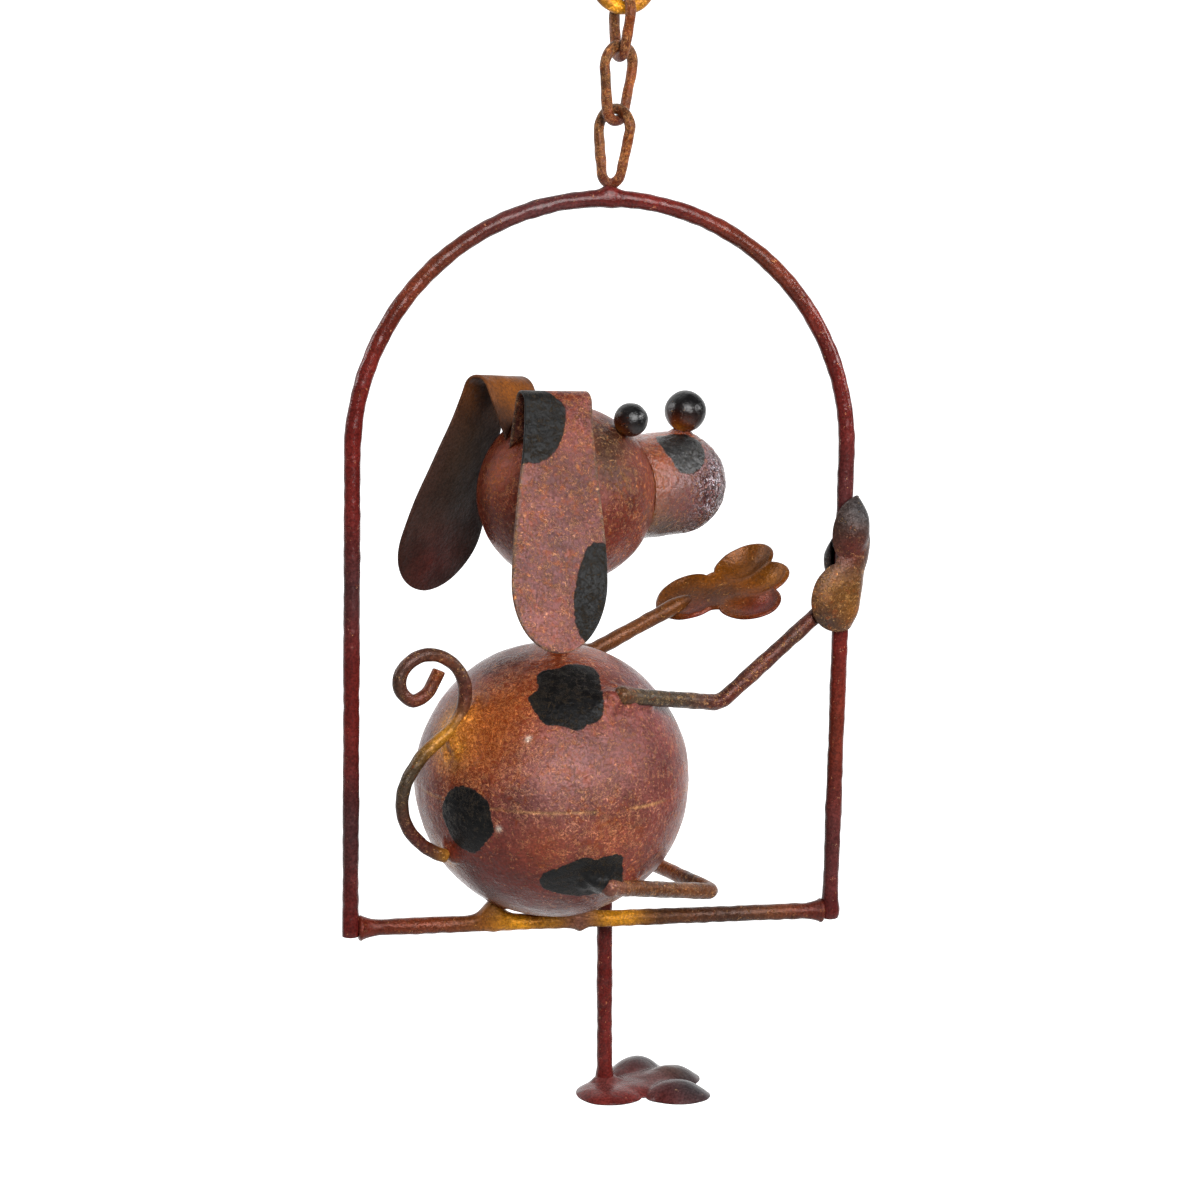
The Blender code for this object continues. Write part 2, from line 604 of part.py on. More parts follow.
def main():
    """Clear the scene and build the sculpture."""
    for old in list(bpy.data.objects):
        bpy.data.objects.remove(old, do_unlink=True)
    home = bpy.data.collections.new("Hanging metal dog")
    tools = bpy.data.collections.new("Cutters")
    bpy.context.scene.collection.children.link(home)
    bpy.context.scene.collection.children.link(tools)
    finishes = {
        "red": enamel("red brown enamel", RED_BROWN, 0.45, 0.35),
        "maroon": enamel("maroon enamel", MAROON, 0.35, 0.20),
        "rust": enamel("rust brown enamel", RUST, 0.50, 0.35),
        "black": enamel("black enamel", BLACK, 0.40, 0.10),
        "brown": enamel("dark brown enamel", DARK_BROWN, 0.55, 0.20),
    }
    top = hang_chain(finishes, home)
    seat, bar = make_hoop(top, finishes, home)
    body, head, around_body = make_balls(seat, bar, finishes, home, tools)
    make_face(head, finishes, home)
    make_ear("ear_right", head, finishes["red"], home)
    make_ear("ear_left", head, finishes["brown"], home)
    make_arms(body, seat, finishes, home)
    make_legs(body, around_body, finishes, home)
    make_tail(body, finishes["rust"], home)


main()
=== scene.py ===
"""The looks of the hanging metal dog: welded balls, rods, pressed paws and folded ears under old enamel.

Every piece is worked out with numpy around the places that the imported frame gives.
Metres, +Z up; the origin is the inside top of the hanging ring.
"""

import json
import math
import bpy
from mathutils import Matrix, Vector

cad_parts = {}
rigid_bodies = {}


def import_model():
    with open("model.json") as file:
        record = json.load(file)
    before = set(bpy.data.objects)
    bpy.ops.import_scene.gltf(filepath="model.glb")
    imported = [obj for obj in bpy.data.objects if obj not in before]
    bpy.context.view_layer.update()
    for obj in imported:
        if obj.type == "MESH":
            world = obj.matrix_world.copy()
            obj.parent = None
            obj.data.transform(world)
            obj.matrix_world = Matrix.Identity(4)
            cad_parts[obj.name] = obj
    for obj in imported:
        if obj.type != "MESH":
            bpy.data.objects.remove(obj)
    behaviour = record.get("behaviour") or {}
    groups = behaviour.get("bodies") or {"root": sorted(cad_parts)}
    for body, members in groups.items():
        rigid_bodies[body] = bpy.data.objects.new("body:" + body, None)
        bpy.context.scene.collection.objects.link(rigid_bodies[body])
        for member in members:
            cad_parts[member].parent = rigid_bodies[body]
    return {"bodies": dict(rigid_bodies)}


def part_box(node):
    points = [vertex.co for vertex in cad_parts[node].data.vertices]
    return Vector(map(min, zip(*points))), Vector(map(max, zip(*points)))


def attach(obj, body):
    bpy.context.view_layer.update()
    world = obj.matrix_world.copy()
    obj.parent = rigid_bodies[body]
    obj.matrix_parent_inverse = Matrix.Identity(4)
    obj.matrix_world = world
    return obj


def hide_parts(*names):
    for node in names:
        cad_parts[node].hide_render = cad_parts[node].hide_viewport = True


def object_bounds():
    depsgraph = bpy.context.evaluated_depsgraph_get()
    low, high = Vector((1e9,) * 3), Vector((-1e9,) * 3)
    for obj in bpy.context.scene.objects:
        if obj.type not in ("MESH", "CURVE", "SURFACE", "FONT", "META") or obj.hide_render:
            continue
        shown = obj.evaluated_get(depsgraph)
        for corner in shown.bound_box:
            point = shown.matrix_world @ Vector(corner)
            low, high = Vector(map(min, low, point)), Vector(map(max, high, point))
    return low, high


bl_info = {
    "name": "Hanging metal dog",
    "version": (1, 0, 0),
    "blender": (4, 5, 0),
    "location": "3D View > Sidebar > Metal dog",
    "description": "Builds the finished pieces of the hanging metal dog around its packed frame",
    "category": "Object",
}

import bmesh
import bpy
import numpy as np
from mathutils import Matrix

for old in list(bpy.data.objects):
    bpy.data.objects.remove(old, do_unlink=True)
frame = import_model()
CAD_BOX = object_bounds()
ROOT = next(iter(frame["bodies"]))
MM = 0.001
STEP = 0.0005
UP = np.array([0.0, 0.0, 1.0])


def corners_of(node):
    """Lowest and highest corner of a CAD node as arrays."""
    low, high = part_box(node)
    return np.array(low), np.array(high)


def ball_of(node):
    """Centre and radius of a ball, from its box; the radius is half the height."""
    low, high = corners_of(node)
    return (low + high) / 2, float(high[2] - low[2]) / 2


BODY_AT, BODY_R = ball_of("body")
HEAD_AT, HEAD_R = ball_of("head")
NOSE_AT, NOSE_R = ball_of("nose")
EYE_AT, EYE_R = ball_of("eye_right")
EYE_LEFT_AT = ball_of("eye_left")[0]
HOOP_LOW, HOOP_HIGH = corners_of("hoop")

# The dog's own measures, in metres and degrees; the head looks along an azimuth from +X towards +Y
HEAD_AZIMUTH = 23.0
LINK_TURNS = {"chain_link_upper": -78.0, "chain_link_middle": 35.0, "chain_link_lower": -50.0}
LINK_TOP_RADIUS = 0.0056
LINK_FOOT_RADIUS = 0.0035
RING_INNER_RADIUS = 0.0054
WELD_LUMPS_X = (-0.0172, 0.0088)
MUZZLE_RADIUS = 0.0152
MUZZLE_REACH = 0.0383
MUZZLE_RISE = 2.0
CUP_EDGE = 0.0006
WELD_LEAN = (-0.35, -0.45, 0.05)
LIMB_BEND = 0.0060
LIMB_ROOT = 0.0075

# Each limb on the body: the direction in which it touches the ball, and how far its first joint is from there
LIMB_ROOTS = {"arm_right": ((0.450, -0.570, 0.687), (0.0286, 0.0157, -0.0057)),
              "arm_left": ((0.200, 0.500, 0.843), (0.0064, 0.0036, -0.0036)),
              "leg_right": ((0.352, -0.733, -0.582), (0.0326, 0.0226, -0.0088))}

# Height of each limb's weld in shares of the weld size, and the steps from joint to joint. The right shin is
# in body radii
LIMB_WELDS = {"arm_right": 1.1, "arm_left": 0.9, "leg_right": 0.9}
WRIST_RIGHT = (-0.0084, -0.0018, -0.0063)
FOREARM_LEFT = (0.0319, 0.0023, 0.0164)
SHIN_RIGHT = (-0.495, 1.3625, 0.010)
SHIN_LEFT = (-0.00134, 0.0, 0.0640)
ANKLE_LEFT = (0.0199, 0.0109, -0.0968)

# A foot's sheet is this far below the rod's end, plus its thickness and the gap between touching pieces
SOLE_DROP = 0.0024
FOOT_LEFT_HEEL = (0.0010, -0.0050)
GAP = 0.0003
TAIL_AZIMUTH = 12.0
TAIL_CONTACT = (-0.796, -0.441, -0.412)
GRIP_HEIGHT = 0.0965
GRIP_FACING = -78.0
GRIP_RADIUS = 0.0027
GRIP_ARC_RADIUS = 0.0062
GRIP_HEEL_OFFSET = -0.0018
GRIP_TURN = 38.0
HAND_LEFT_HEEL = (0.0326, 0.0081, 0.0165)
HAND_LEFT_BACK = (0.385, 0.425, -0.823)
HAND_LEFT_TOES = (0.920, -0.275, 0.288)
FOOT_LEFT_AZIMUTH = 21.0
EARS = {
    "ear_right": dict(side=1, forward=-0.0117, out=0.0070, up=0.0222, turn=11.6, rise=18.4, stem=0.0065,
                      fold=0.0036, flare=20.8, blade=0.0706, back=0.0081, neck=0.0201, width=0.0282,
                      roll=-1.5),
    "ear_left": dict(side=-1, forward=-0.0108, out=0.0066, up=0.0208, turn=15.6, rise=27.5, stem=0.0107,
                     fold=0.0047, flare=17.2, blade=0.0641, back=0.0059, neck=0.0200, width=0.0330,
                     roll=-4.4),
}
EAR_WIDEST = 0.72
# Angles of the points on the half-round rim of a sheet
RIM = np.linspace(0, math.pi, 7)[1:-1]
TAIL_RATIOS = ((0, 0), (-0.13, 0.0625), (-0.2425, 0.16), (-0.315, 0.2825), (-0.3375, 0.42), (-0.3, 0.58),
               (-0.185, 0.75), (-0.055, 0.86), (0.0575, 0.965), (0.115, 1.1), (0.115, 1.255), (0.035, 1.39),
               (-0.105, 1.465), (-0.245, 1.4475), (-0.35, 1.35), (-0.355, 1.23), (-0.27, 1.1475),
               (-0.17, 1.185), (-0.11, 1.27), (-0.0725, 1.355))

# Paw pattern: centre along the paw, half length, half width, turn in fans and rise of each disc and toe.
# A hand's toes fan out less than a foot's; the palm is a soft rise where the toes meet
PAW_HEEL = 0.0107
HAND_FAN = 27.0
FOOT_FAN = 35.0
PAW_LOBES = ((0.0, 0.0107, 0.0098, 0.0, 0.0024), (0.01055, 0.01055, 0.0090, 0.0, 0.0024),
             (0.0199, 0.0100, 0.0076, -1.0, 0.0046), (0.0211, 0.0100, 0.0076, 0.0, 0.0046),
             (0.0199, 0.0100, 0.0076, 1.0, 0.0046))
PAW_PALM = (0.0165, 0.0095, 0.0100, 0.0, 0.0036)

# Black patches, as outlines in millimetres from the ball's centre, and on the near ear as distance down the
# leaf and across it
PATCH_TOP = ((-7.7, -18.0, 34.9), (-5.6, -16.9, 35.8), (-1.7, -16.7, 36.3), (1.0, -15.3, 36.9),
             (4.5, -15.0, 36.8), (8.0, -15.3, 36.1), (9.6, -18.1, 34.4), (9.3, -22.4, 31.8),
             (8.6, -25.8, 29.4), (8.8, -28.9, 26.2), (7.2, -31.2, 24.0), (3.5, -32.5, 23.1),
             (2.3, -33.3, 22.1), (-0.6, -33.4, 22.0), (-2.0, -32.8, 22.8), (-4.7, -32.2, 23.2),
             (-8.0, -31.5, 23.4), (-10.1, -28.7, 25.9), (-11.7, -25.0, 28.9), (-10.5, -23.6, 30.5),
             (-8.7, -23.0, 31.6), (-8.4, -19.4, 34.0))
PATCH_BACK = ((-33.3, -22.0, 2.7), (-31.5, -24.2, 4.6), (-29.2, -26.9, 5.0), (-27.1, -29.1, 4.3),
              (-23.8, -32.1, 1.5), (-23.1, -32.5, -3.0), (-22.3, -32.8, -5.0), (-22.4, -32.4, -7.2),
              (-24.1, -30.3, -10.2), (-25.7, -27.7, -13.3), (-27.7, -25.0, -14.4), (-31.3, -21.6, -12.3),
              (-33.9, -19.9, -7.3), (-34.8, -19.1, -4.7), (-34.7, -19.9, -1.3))
PATCH_LOW = ((-9.1, -33.2, -20.4), (-7.8, -34.7, -18.2), (-4.0, -36.2, -16.6), (-0.1, -37.2, -14.7),
             (2.9, -37.5, -13.6), (6.2, -36.8, -14.3), (9.0, -36.5, -13.6), (13.7, -35.0, -13.8),
             (14.5, -33.2, -17.0), (13.3, -30.1, -22.8), (7.2, -29.2, -26.4), (3.0, -29.3, -27.0),
             (-4.9, -30.7, -25.1), (-7.9, -31.5, -23.4))
PATCH_MUZZLE = ((-7.1, -4.5, 12.7), (-4.8, -4.5, 13.7), (-1.7, -4.2, 14.5), (1.4, -4.3, 14.5),
                (4.3, -4.9, 13.7), (6.1, -6.4, 12.4), (6.5, -9.2, 10.2), (6.4, -11.2, 8.1),
                (5.3, -12.7, 6.6), (3.5, -13.9, 5.0), (1.3, -14.6, 4.0), (-0.8, -14.8, 3.5),
                (-2.7, -14.5, 3.8), (-4.3, -13.1, 6.4), (-6.3, -11.5, 7.7), (-7.4, -9.4, 9.5),
                (-7.7, -7.2, 11.0))
PATCH_EAR_TOP = ((-5.5, -12.5), (-5.5, -5.1), (-2.6, -2.1), (-0.5, -0.1), (1.7, 1.6), (4.0, 2.0),
                 (6.7, 1.6), (10.0, 0.9), (12.5, -0.3), (14.5, -1.8), (16.5, -4.0), (17.5, -6.5),
                 (17.5, -9.5), (17.2, -13.0), (8.0, -14.0))
PATCH_EAR_LOW = ((40.3, 9.4), (40.2, 12.5), (42.6, 16.5), (50.0, 17.5), (58.1, 16.5), (65.4, 11.5),
                 (68.6, 8.2), (66.7, 6.2), (64.7, 5.1), (61.9, 4.2), (55.9, 4.0), (52.5, 4.5), (48.4, 5.3),
                 (45.1, 6.4), (42.1, 7.6))


# Zones of paint and wear on the balls: offset from the centre and reach in millimetres, colour, strength
# Painted reflection: the two mauve zones on the body's front stand in for the front soft box's broad
# reflection on the satin paint
BODY_PAINT = (((-4, -38, 9), 24, "mauve_and_sheen", 1.0), ((12, -34, 10), 18, "mauve_and_sheen", 0.8),
              ((-19, -21, 28), 13, "amber", 1.0), ((-25, -25, 18), 10, "amber", 0.9),
              ((0, -10, 39), 12, "amber", 0.8), ((-31, -22, 12), 10, "amber", 0.8),
              ((-32, -14, 19), 7, "yellow", 0.95), ((-31, -18, 14), 5, "yellow", 0.5),
              ((-33, -13, -19), 4, "yellow", 0.7), ((29, -25, 11), 12, "maroon", 0.7),
              # Painted reflections: the pale lilac zones on the upper right, top left and left rims stand in
              # for the white surroundings mirrored there
              ((33, -20, -2), 10, "maroon", 0.5), ((26, -11, 28), 12, "painted_sheen", 0.7),
              ((-22, 2, 32), 12, "painted_sheen", 0.5), ((-36, 0, 14), 14, "painted_sheen", 0.5),
              ((10, -34, -6), 9, "amber", 0.5), ((-8, -36, -10), 8, "amber", 0.5),
              ((-20, -22, -26), 14, "maroon", 0.6), ((0, -20, -34), 12, "mauve_and_sheen", 0.5),
              ((6, -30, 27), 6, "red", 0.4), ((-12.8, -32.4, 19.6), 0.7, "cream", 1.0),
              ((-21, -33.6, -5.6), 0.7, "cream", 0.9), ((7, -36.1, -15.8), 1, "yellow", 0.9),
              ((4.7, -39.7, -0.2), 0.7, "black", 0.9))
BODY_WEAR = (((-4, -38, 9), 20, 0.35), ((-19, -21, 28), 14, 0.7), ((-27, -25, 14), 12, 0.9),
             ((-32, -14, 19), 8, 0.8), ((8, -36, -8), 12, 0.4), ((-20, -22, -26), 14, -0.45),
             ((-20, -28, -18), 12, -0.3))
HEAD_PAINT = (((-21, -12, 9), 10, "amber", 0.35), ((5, -25, 2), 8, "mauve_and_sheen", 0.4),
              ((7, -22, 12), 7, "olive", 0.7), ((9, -16, 18), 8, "olive", 0.8),
              ((14, -20, 3), 12, "umber", 0.45), ((-6, -10, 23), 8, "olive", 0.5))
HEAD_WEAR = (((-21, -12, 5), 8, 0.4), ((14, -20, 2), 9, 0.3))
MUZZLE_PAINT = (((2, -13, 0), 20, "maroon", 0.45), ((-11, -20, 4), 7.5, "amber", 0.95),
                ((-9, -16, 10), 7, "amber", 0.95), ((-12, -18, -7), 7, "ochre", 0.9),
                ((-6, -14, -12), 8, "olive", 0.8), ((0, -12, -11), 7, "olive", 0.5),
                ((0, -14, -3), 8, "maroon", 0.6), ((8, -12, -4), 8, "maroon", 0.45),
                # Painted highlights: the pale lilac zones on the tip's right side stand in for glints of the
                # soft boxes
                ((11, -9, 5), 8, "painted_sheen", 0.6), ((13, -4, 5), 8, "painted_sheen", 0.6),
                ((12, -7, -4), 8, "maroon", 0.4), ((-6, -3, 14), 7, "amber", 0.8),
                ((4, 0, 15), 6, "amber", 0.8))
# Along the tail: share of its length, reach in metres, colour, strength
TAIL_PAINT = ((0.0, 0.004, "yellow", 0.5), (0.1, 0.010, "maroon", 0.6), (0.3, 0.010, "olive", 0.5),
              (0.42, 0.007, "yellow", 0.5), (0.55, 0.009, "maroon", 0.5), (0.75, 0.008, "maroon", 0.35),
              (0.9, 0.006, "red", 0.6), (1.0, 0.004, "amber", 0.6))

# Finishes: slot, roughness, metal, strength of the clear reflection and height of the grain
FINISHES = {
    "red brown": ("red_brown", 0.27, 0.22, 0.17, 0.00045),
    "maroon": ("maroon", 0.19, 0.05, 0.18, 0.00022),
    "rust brown": ("rust_brown", 0.30, 0.20, 0.16, 0.00035),
    "black": ("black", 0.22, 0.0, 0.30, 0.00030),
    "dark brown": ("dark_brown", 0.44, 0.10, 0.12, 0.00030),
    "muzzle": ("red_brown", 0.17, 0.15, 0.80, 0.00080),
}
# Distance from a patch's edge, in millimetres, where there is none near
NO_PATCH = 9.0

# Camera, fitted to the hoop in the photograph, and the soft boxes: place, size and power
CAMERA_AT = np.array([-0.15081, -0.72558, -0.05135])
CAMERA_RIGHT = (0.9804, -0.19595, 0.02037)
CAMERA_VIEW = (0.19651, 0.96542, -0.17132)
CAMERA_LENS = 78.0
CAMERA_SENSOR = 36.0
FRONT_RIGHT, FRONT_ABOVE = 0.26, 0.22
FRONT_SOFTBOX = (0.50, 12.5)
SOFTBOXES = {"right softbox": ((0.60, -0.20, 0.05), 0.20, 3.0),
             "left softbox": ((-0.60, 0.15, 0.10), 0.20, 2.0),
             "top softbox": ((-0.25, 0.1, 0.75), 0.8, 1.2)}
LIGHTS_AIM = np.array([-0.01, 0.0, -0.19])

# Floor: half its width, front edge, rear height, and the bend that joins its level and upright parts
FLOOR_SIDE, FLOOR_FRONT, FLOOR_TOP = 3.0, -3.0, 3.0
BEND_AT, BEND_RADIUS = (0.9, -0.02), 0.6
FLOOR_GLOW = (0.10, 0.50)
SURROUNDINGS = 0.20


# Sizes and colours a user would change

def size_of(name, description, default, precision=4):
    """A property for a size in metres."""
    return bpy.props.FloatProperty(name=name, description=description, default=default, unit="LENGTH",
                                   precision=precision)


def colour_of(name, description, default):
    """A property for a colour."""
    return bpy.props.FloatVectorProperty(name=name, description=description, default=default, size=3,
                                         subtype="COLOR", min=0.0, max=1.0)


class DogRods(bpy.types.PropertyGroup):
    """Rods, wires and links."""

    hoop_rod: size_of("Hoop rod", "Diameter of the hoop's rod and of the seat bar", 0.0048)
    limb_rod: size_of("Limb rod", "Diameter of the arms' and legs' rod", 0.0047)
    neck_rod: size_of("Neck rod", "Diameter of the neck", 0.0060)
    tail_wire: size_of("Tail wire", "Diameter of the tail's wire", 0.0038)
    link_wire: size_of("Link wire", "Diameter of the chain's wire", 0.0030)
    ring_wire: size_of("Ring wire", "Diameter of the hanging ring's wire", 0.0040)
    swell: size_of("Swell", "How far thick paint makes a rod swell and thin", 0.00008, 5)


class DogSheets(bpy.types.PropertyGroup):
    """Balls, ears and paws."""

    ear_sheet: size_of("Ear sheet", "Thickness of the ears' sheet", 0.0009)
    paw_sheet: size_of("Paw sheet", "Thickness of the paws' sheet", 0.0013)
    dent: size_of("Dents", "Depth of the hammered unevenness", 0.00014, 5)
    seam: size_of("Seam", "Depth of the line between the body's two halves", 0.00016, 5)
    weld: size_of("Weld", "How high weld metal fills the crevice beside a rod", 0.0020)


class DogColours(bpy.types.PropertyGroup):
    """Paint and bare metal, and the colours that paint sheen and reflections."""

    red: colour_of("Red brown", "Main paint of the balls", (0.1120, 0.0140, 0.0055))
    # Partly painted reflection, not rubbing: the mauve middle of the balls stands in for the front soft box's
    # broad reflection, and the spots on the foot's heel for its sheen; elsewhere mauve is plain paint
    mauve_and_sheen: colour_of("Mauve", "Rubbed middle of the balls and the near ear", (0.1280, 0.0490, 0.0450))
    maroon: colour_of("Maroon", "Thick glossy paint", (0.0860, 0.0090, 0.0072))
    amber: colour_of("Amber", "Thin paint over bright metal", (0.1650, 0.0270, 0.0020))
    gold: colour_of("Gold", "Scratches down to the metal", (0.6200, 0.3600, 0.1200))
    ochre: colour_of("Ochre", "Brown gold lacquer of the open hand", (0.1100, 0.0300, 0.0006))
    yellow: colour_of("Yellow", "Golden lacquer near the welds", (0.6200, 0.2500, 0.0080))
    copper: colour_of("Copper", "Light brown rods", (0.0880, 0.0290, 0.0090))
    olive: colour_of("Olive", "Smoked metal", (0.0320, 0.0225, 0.0140))
    umber: colour_of("Umber", "Dark brown of the far ear", (0.0300, 0.0125, 0.0090))
    # Painted reflection, not a bloom in the paint: this pale lilac stands in for the white surroundings and
    # soft boxes mirrored on glossy rims, the muzzle's tip and the near ear
    painted_sheen: colour_of("Lilac", "Bloom on the glossy rims", (0.1000, 0.0620, 0.0750))
    charcoal: colour_of("Charcoal", "Worn dark paint of the hoop", (0.0180, 0.0185, 0.0200))
    cream: colour_of("Cream", "Pinholes down to the filler", (0.5500, 0.5000, 0.4200))
    black: colour_of("Black", "Patches, eyes and nose", (0.0022, 0.0022, 0.0024))


# Directions, lines and uneven fields

def unit(vector):
    """The vector, or each row of vectors, divided by its length."""
    vector = np.asarray(vector, float)
    return vector / np.linalg.norm(vector, axis=-1, keepdims=True)


def heading(azimuth, elevation=0.0):
    """Direction from an azimuth and an elevation in degrees: (cos e cos a, cos e sin a, sin e)."""
    turn, lift = math.radians(azimuth), math.radians(elevation)
    return np.array([math.cos(lift) * math.cos(turn), math.cos(lift) * math.sin(turn), math.sin(lift)])


def smooth_step(low, high, value):
    """0 below low, 1 above high and 3t² - 2t³ between them."""
    share = np.clip((value - low) / (high - low), 0.0, 1.0)
    return share * share * (3 - 2 * share)


def ripple(points, size, seed=0.0):
    """Smooth unevenness between about -1 and 1: sines of the place along seven slanted directions, each with
    a wavelength near size."""
    total = np.zeros(points.shape[:-1])
    for step in range(7):
        way = heading(51.0 * step + 17.0 * seed, 55.0 * math.sin(2.1 * step + seed))
        total += np.sin(points @ way * (2 * math.pi / (size * (0.7 + 0.11 * step))) + 1.9 * step + 2.3
                        * seed)
    return total / 3.4


def even_steps(path, step, closed=False):
    """The same line with points a fixed step apart, found by the length run along it."""
    if closed:
        path = np.concatenate([path, path[:1]])
    run = np.concatenate([[0.0], np.cumsum(np.linalg.norm(np.diff(path, axis=0), axis=1))])
    marks = np.linspace(0, run[-1], max(int(round(run[-1] / step)), 6) + 1)
    line = np.stack([np.interp(marks, run, path[:, axis]) for axis in range(3)], axis=1)
    return line[:-1] if closed else line


def rounded_path(corners, radius, step=STEP):
    """A line through corners whose bends are arcs: a bend of the radius starts radius / tan(half the angle)
    before its corner and turns about a centre on the angle's middle line."""
    corners = [np.asarray(corner, float) for corner in corners]
    path = [corners[0][None]]
    for before, corner, after in zip(corners, corners[1:], corners[2:]):
        back, on = unit(before - corner), unit(after - corner)
        half = math.acos(np.clip(back @ on, -1, 1)) / 2
        centre = corner + unit(back + on) * radius / math.sin(half)
        first = unit(corner + back * radius / math.tan(half) - centre)
        last = unit(corner + on * radius / math.tan(half) - centre)
        share = np.linspace(0, 1, 17)[:, None]
        path.append(centre + radius * unit(first * (1 - share) + last * share))
    path.append(corners[-1][None])
    return even_steps(np.concatenate(path), step)


def catmull_rom(knots, spans=12):
    """Points of a Catmull-Rom curve from its second knot to its last but one: each span blends its four
    nearest knots by the usual cubic."""
    share = np.linspace(0, 1, spans, endpoint=False)[:, None]
    return np.concatenate([0.5 * (2 * b + (c - a) * share + (2 * a - 5 * b + 4 * c - d) * share ** 2
                                  + (3 * b - a - 3 * c + d) * share ** 3)
                           for a, b, c, d in zip(knots, knots[1:], knots[2:], knots[3:])])


def line_distance(points, start, end):
    """Distance from each point to the straight piece between two places."""
    start, way = np.asarray(start, float), np.asarray(end, float) - np.asarray(start, float)
    share = np.clip((points - start) @ way / max(way @ way, 1e-12), 0, 1)
    return np.linalg.norm(points - start - share[..., None] * way, axis=-1)


def mound(points, start, end, radius, height, reach, seed=0.0):
    """Weld metal that fills the crevice beside a rod: height times a bell of the distance to the rod's skin,
    with an uneven edge."""
    away = np.maximum(line_distance(points, start, end) - radius, 0)
    return height * np.exp(-(away / (reach * (1 + 0.3 * ripple(points, 0.004, seed)))) ** 2)


# Meshes

def grid_faces(rows, columns, round_rows=False):
    """Quads between neighbouring rows of a grid that is closed along its columns, and along its rows too
    when round_rows is set."""
    row, column = np.meshgrid(np.arange(rows if round_rows else rows - 1), np.arange(columns),
                              indexing="ij")
    below, after = (row + 1) % rows, (column + 1) % columns
    quads = [row * columns + column, row * columns + after, below * columns + after,
             below * columns + column]
    return np.stack(quads, axis=-1).reshape(-1, 4)


def make_piece(name, points, finish, paint, nodes, round_rows=False, patch=NO_PATCH, wear=0.3, wrinkle=0.0):
    """One smooth closed piece from a grid of points, kept inside the CAD model's box. Each point carries its
    paint colour, its distance in millimetres from the edge of a black patch (negative inside), its wear and
    its wrinkles. Doubled points at seams and poles are merged and the faces turned outwards."""
    points = np.clip(points, *(np.array(corner) for corner in CAD_BOX))
    mesh = bpy.data.meshes.new(name)
    mesh.from_pydata(points.reshape(-1, 3).tolist(), [],
                     grid_faces(points.shape[0], points.shape[1], round_rows).tolist())
    tint = mesh.attributes.new("tint", "FLOAT_COLOR", "POINT")
    tint.data.foreach_set("color", np.concatenate([paint, np.ones((*paint.shape[:-1], 1))],
                                                  axis=-1).ravel())
    for label, value in (("patch", patch), ("wear", wear), ("wrinkle", wrinkle)):
        layer = mesh.attributes.new(label, "FLOAT", "POINT")
        layer.data.foreach_set("value", np.broadcast_to(value, points.shape[:2]).ravel().astype(float))
    shape = bmesh.new()
    shape.from_mesh(mesh)
    bmesh.ops.remove_doubles(shape, verts=shape.verts, dist=1e-7)
    bmesh.ops.dissolve_degenerate(shape, edges=shape.edges, dist=1e-8)
    bmesh.ops.recalc_face_normals(shape, faces=shape.faces)
    shape.to_mesh(mesh)
    shape.free()
    mesh.polygons.foreach_set("use_smooth", np.ones(len(mesh.polygons), bool))
    mesh.materials.append(enamel(finish))
    piece = bpy.data.objects.new(name, mesh)
    bpy.context.scene.collection.objects.link(piece)
    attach(piece, ROOT)
    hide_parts(*nodes)


def carried_frames(path, closed):
    """Tangent and two directions across a line at each of its points, carried along with no twist: each step
    removes what lies along the new tangent. On a closed line the leftover twist is spread over its length."""
    ahead = np.roll(path, -1, axis=0) - np.roll(path, 1, axis=0)
    if not closed:
        ahead[0], ahead[-1] = path[1] - path[0], path[-1] - path[-2]
    tangent = unit(ahead)
    across = [unit(np.cross(tangent[0], UP if abs(tangent[0] @ UP) < 0.9 else heading(0.0)))]
    for way in tangent[1:]:
        across.append(unit(across[-1] - way * (across[-1] @ way)))
    across = np.array(across)
    if closed:
        last = unit(across[-1] - tangent[0] * (across[-1] @ tangent[0]))
        twist = math.atan2(np.cross(last, across[0]) @ tangent[0], last @ across[0])
        turn = (np.arange(len(path)) * twist / len(path))[:, None]
        across = across * np.cos(turn) + np.cross(tangent, across) * np.sin(turn)
    return tangent, across, np.cross(tangent, across)


def sweep(path, radius, sides=24, closed=False, edges=(0.25, 0.25)):
    """A round bar along a line: point = line + radius (across cos v + over sin v). The ends of an open bar
    are flat, each with its edge rounded over a share of the radius."""
    tangent, across, over = carried_frames(path, closed)
    turn = np.linspace(0, 2 * math.pi, sides, endpoint=False)
    ring = across[:, None] * np.cos(turn)[None, :, None] + over[:, None] * np.sin(turn)[None, :, None]
    if closed:
        return path[:, None] + ring * radius[:, None, None]
    run = np.concatenate([[0.0], np.cumsum(np.linalg.norm(np.diff(path, axis=0), axis=1))])
    arc = np.linspace(0, math.pi / 2, 5)
    keep = (run > edges[0] * radius[0] * 1.2) & (run < run[-1] - edges[1] * radius[-1] * 1.2)
    rows = [(path[keep], radius[keep], ring[keep])]
    for end, way, edge in ((0, 1.0, edges[0]), (-1, -1.0, edges[1])):
        depth = np.concatenate([[0.0], edge * radius[end] * (1 - np.cos(arc))])
        size = np.concatenate([[0.0], radius[end] * (1 - edge * (1 - np.sin(arc)))])
        cap = (path[end] + way * depth[:, None] * tangent[end], size, np.repeat(ring[end][None], 6, 0))
        order = slice(None) if end == 0 else slice(None, None, -1)
        rows.insert(0 if end == 0 else len(rows), tuple(part[order] for part in cap))
    line, size, ring = (np.concatenate(part) for part in zip(*rows))
    return line[:, None] + ring * size[:, None, None]


